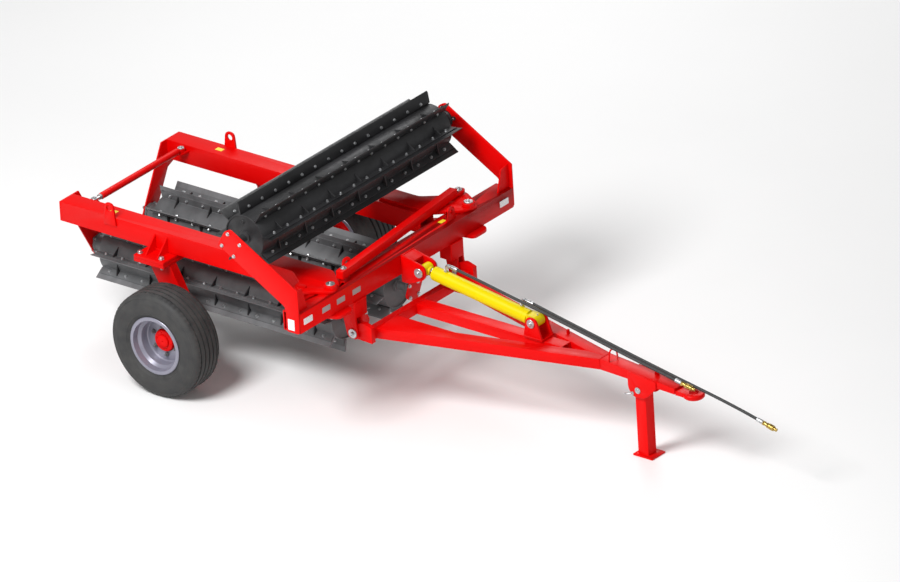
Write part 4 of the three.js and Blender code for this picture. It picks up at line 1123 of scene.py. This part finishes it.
def add_jack_latch():
    """A bent handle on the right jack plate."""
    face, x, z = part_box("jack_plate_right")[0].y, 2.045, 0.49
    y = face - 0.003
    bends = [(x, y + 0.012, z), (x, y - 0.016, z)]
    bends += [(2.03, y - 0.022, z - 0.001), (1.992, y - 0.022, z - 0.006)]
    shape = Shape().tube(bends, 0.005, 12)
    shape.lathe(rod(0.013, 0, 0.004), along((x, face - SEAT_GAP, z), (0, -1, 0)), 24)
    shape.piece("jack_latch", "drawbar", ZINC, bevel=0.0004)


def add_seams():
    """Weld beads where the frame's plates and tubes meet."""
    frame_welds, drawbar_welds = Shape(), Shape()
    under, rail_top, thin = BEAM_UNDERSIDE - 0.002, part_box("drawbar_rail_left")[1].z, 0.004
    for _, s in SIDES:
        y, z = s * (ARM_INNER - 0.001), BEAM_TOP + 0.002
        frame_welds.weld((-0.112, y, z), (-0.004, y, z))
        for z in (BEAM_UNDERSIDE + 0.01, BEAM_TOP - 0.006):
            frame_welds.weld((0.002, s * 0.055, z), (0.002, s * 0.069, z), thin)
        for y in (0.486, 0.617):
            frame_welds.weld((-0.098, s * y, under), (0.006, s * y, under))
        frame_welds.weld((0.011, s * 0.487, under), (0.011, s * 0.616, under), thin)
        drawbar_welds.weld((0.104, s * 0.41, rail_top), (0.104, s * 0.508, rail_top))
        drawbar_welds.weld((1.754, s * 0.004, rail_top), (1.754, s * 0.056, rail_top), thin)
        bracket_y, z = s * 0.0665, rail_top + 0.015
        drawbar_welds.weld((1.08, bracket_y, z), (1.24, bracket_y, z), thin)
    frame_welds.piece("frame_welds", "centre_frame", RED)
    drawbar_welds.piece("drawbar_welds", "drawbar", RED)
    rear, top, foot = -2.609, BEAM_TOP - 0.006, BEAM_UNDERSIDE + 0.004
    for side, s in SIDES:
        wing = Shape()
        for y in (0.53, 0.676):
            wing.weld((rear, s * y, top), (rear, s * y, foot), thin)
        wing.weld((rear, s * 0.532, BEAM_TOP - 0.002), (rear, s * 0.674, BEAM_TOP - 0.002), thin)
        y, z = s * 0.6785, BEAM_UNDERSIDE + 0.001
        wing.weld((-1.756, y, z), (-1.63, y, z))
        wing.piece(f"{side}_wing_welds", f"{side}_wing", RED)


add_front_plates()
add_labels()
add_clamp_bolts()
add_stay_ends()
add_drawbar_details()
add_arm_gussets()
add_jack_latch()
add_seams()


# ---- Floor and light ----

def add_floor():
    bpy.ops.mesh.primitive_plane_add(size=60, location=(0, 0, -0.0005))
    floor = bpy.context.active_object
    floor.name = "floor"
    floor.data.materials.append(studio_floor())


def add_area(name, location, target, size, power):
    data = bpy.data.lights.new(name, "AREA")
    data.shape = "DISK"
    data.size = size
    data.energy = power
    light = add_object(name, data)
    light.location = location
    light.rotation_mode = "QUATERNION"
    light.rotation_quaternion = (Vector(target) - Vector(location)).to_track_quat("-Z", "Y")


def add_light():
    world = bpy.data.worlds.new("studio")
    world.use_nodes = True
    background = world.node_tree.nodes["Background"]
    background.inputs["Color"].default_value = (1, 1, 1, 1)
    background.inputs["Strength"].default_value = 0.4
    bpy.context.scene.world = world
    middle = (0.3, 0, 0.7)
    add_area("key", (-1.0, -8.0, 9.5), middle, 5.0, 1500)
    add_area("fill", (8.0, -5.0, 5.0), middle, 6.0, 90)
    add_area("rim", (-5.0, 8.0, 7.0), middle, 5.0, 350)
    bpy.context.scene.view_settings.view_transform = "Standard"


add_floor()
add_light()
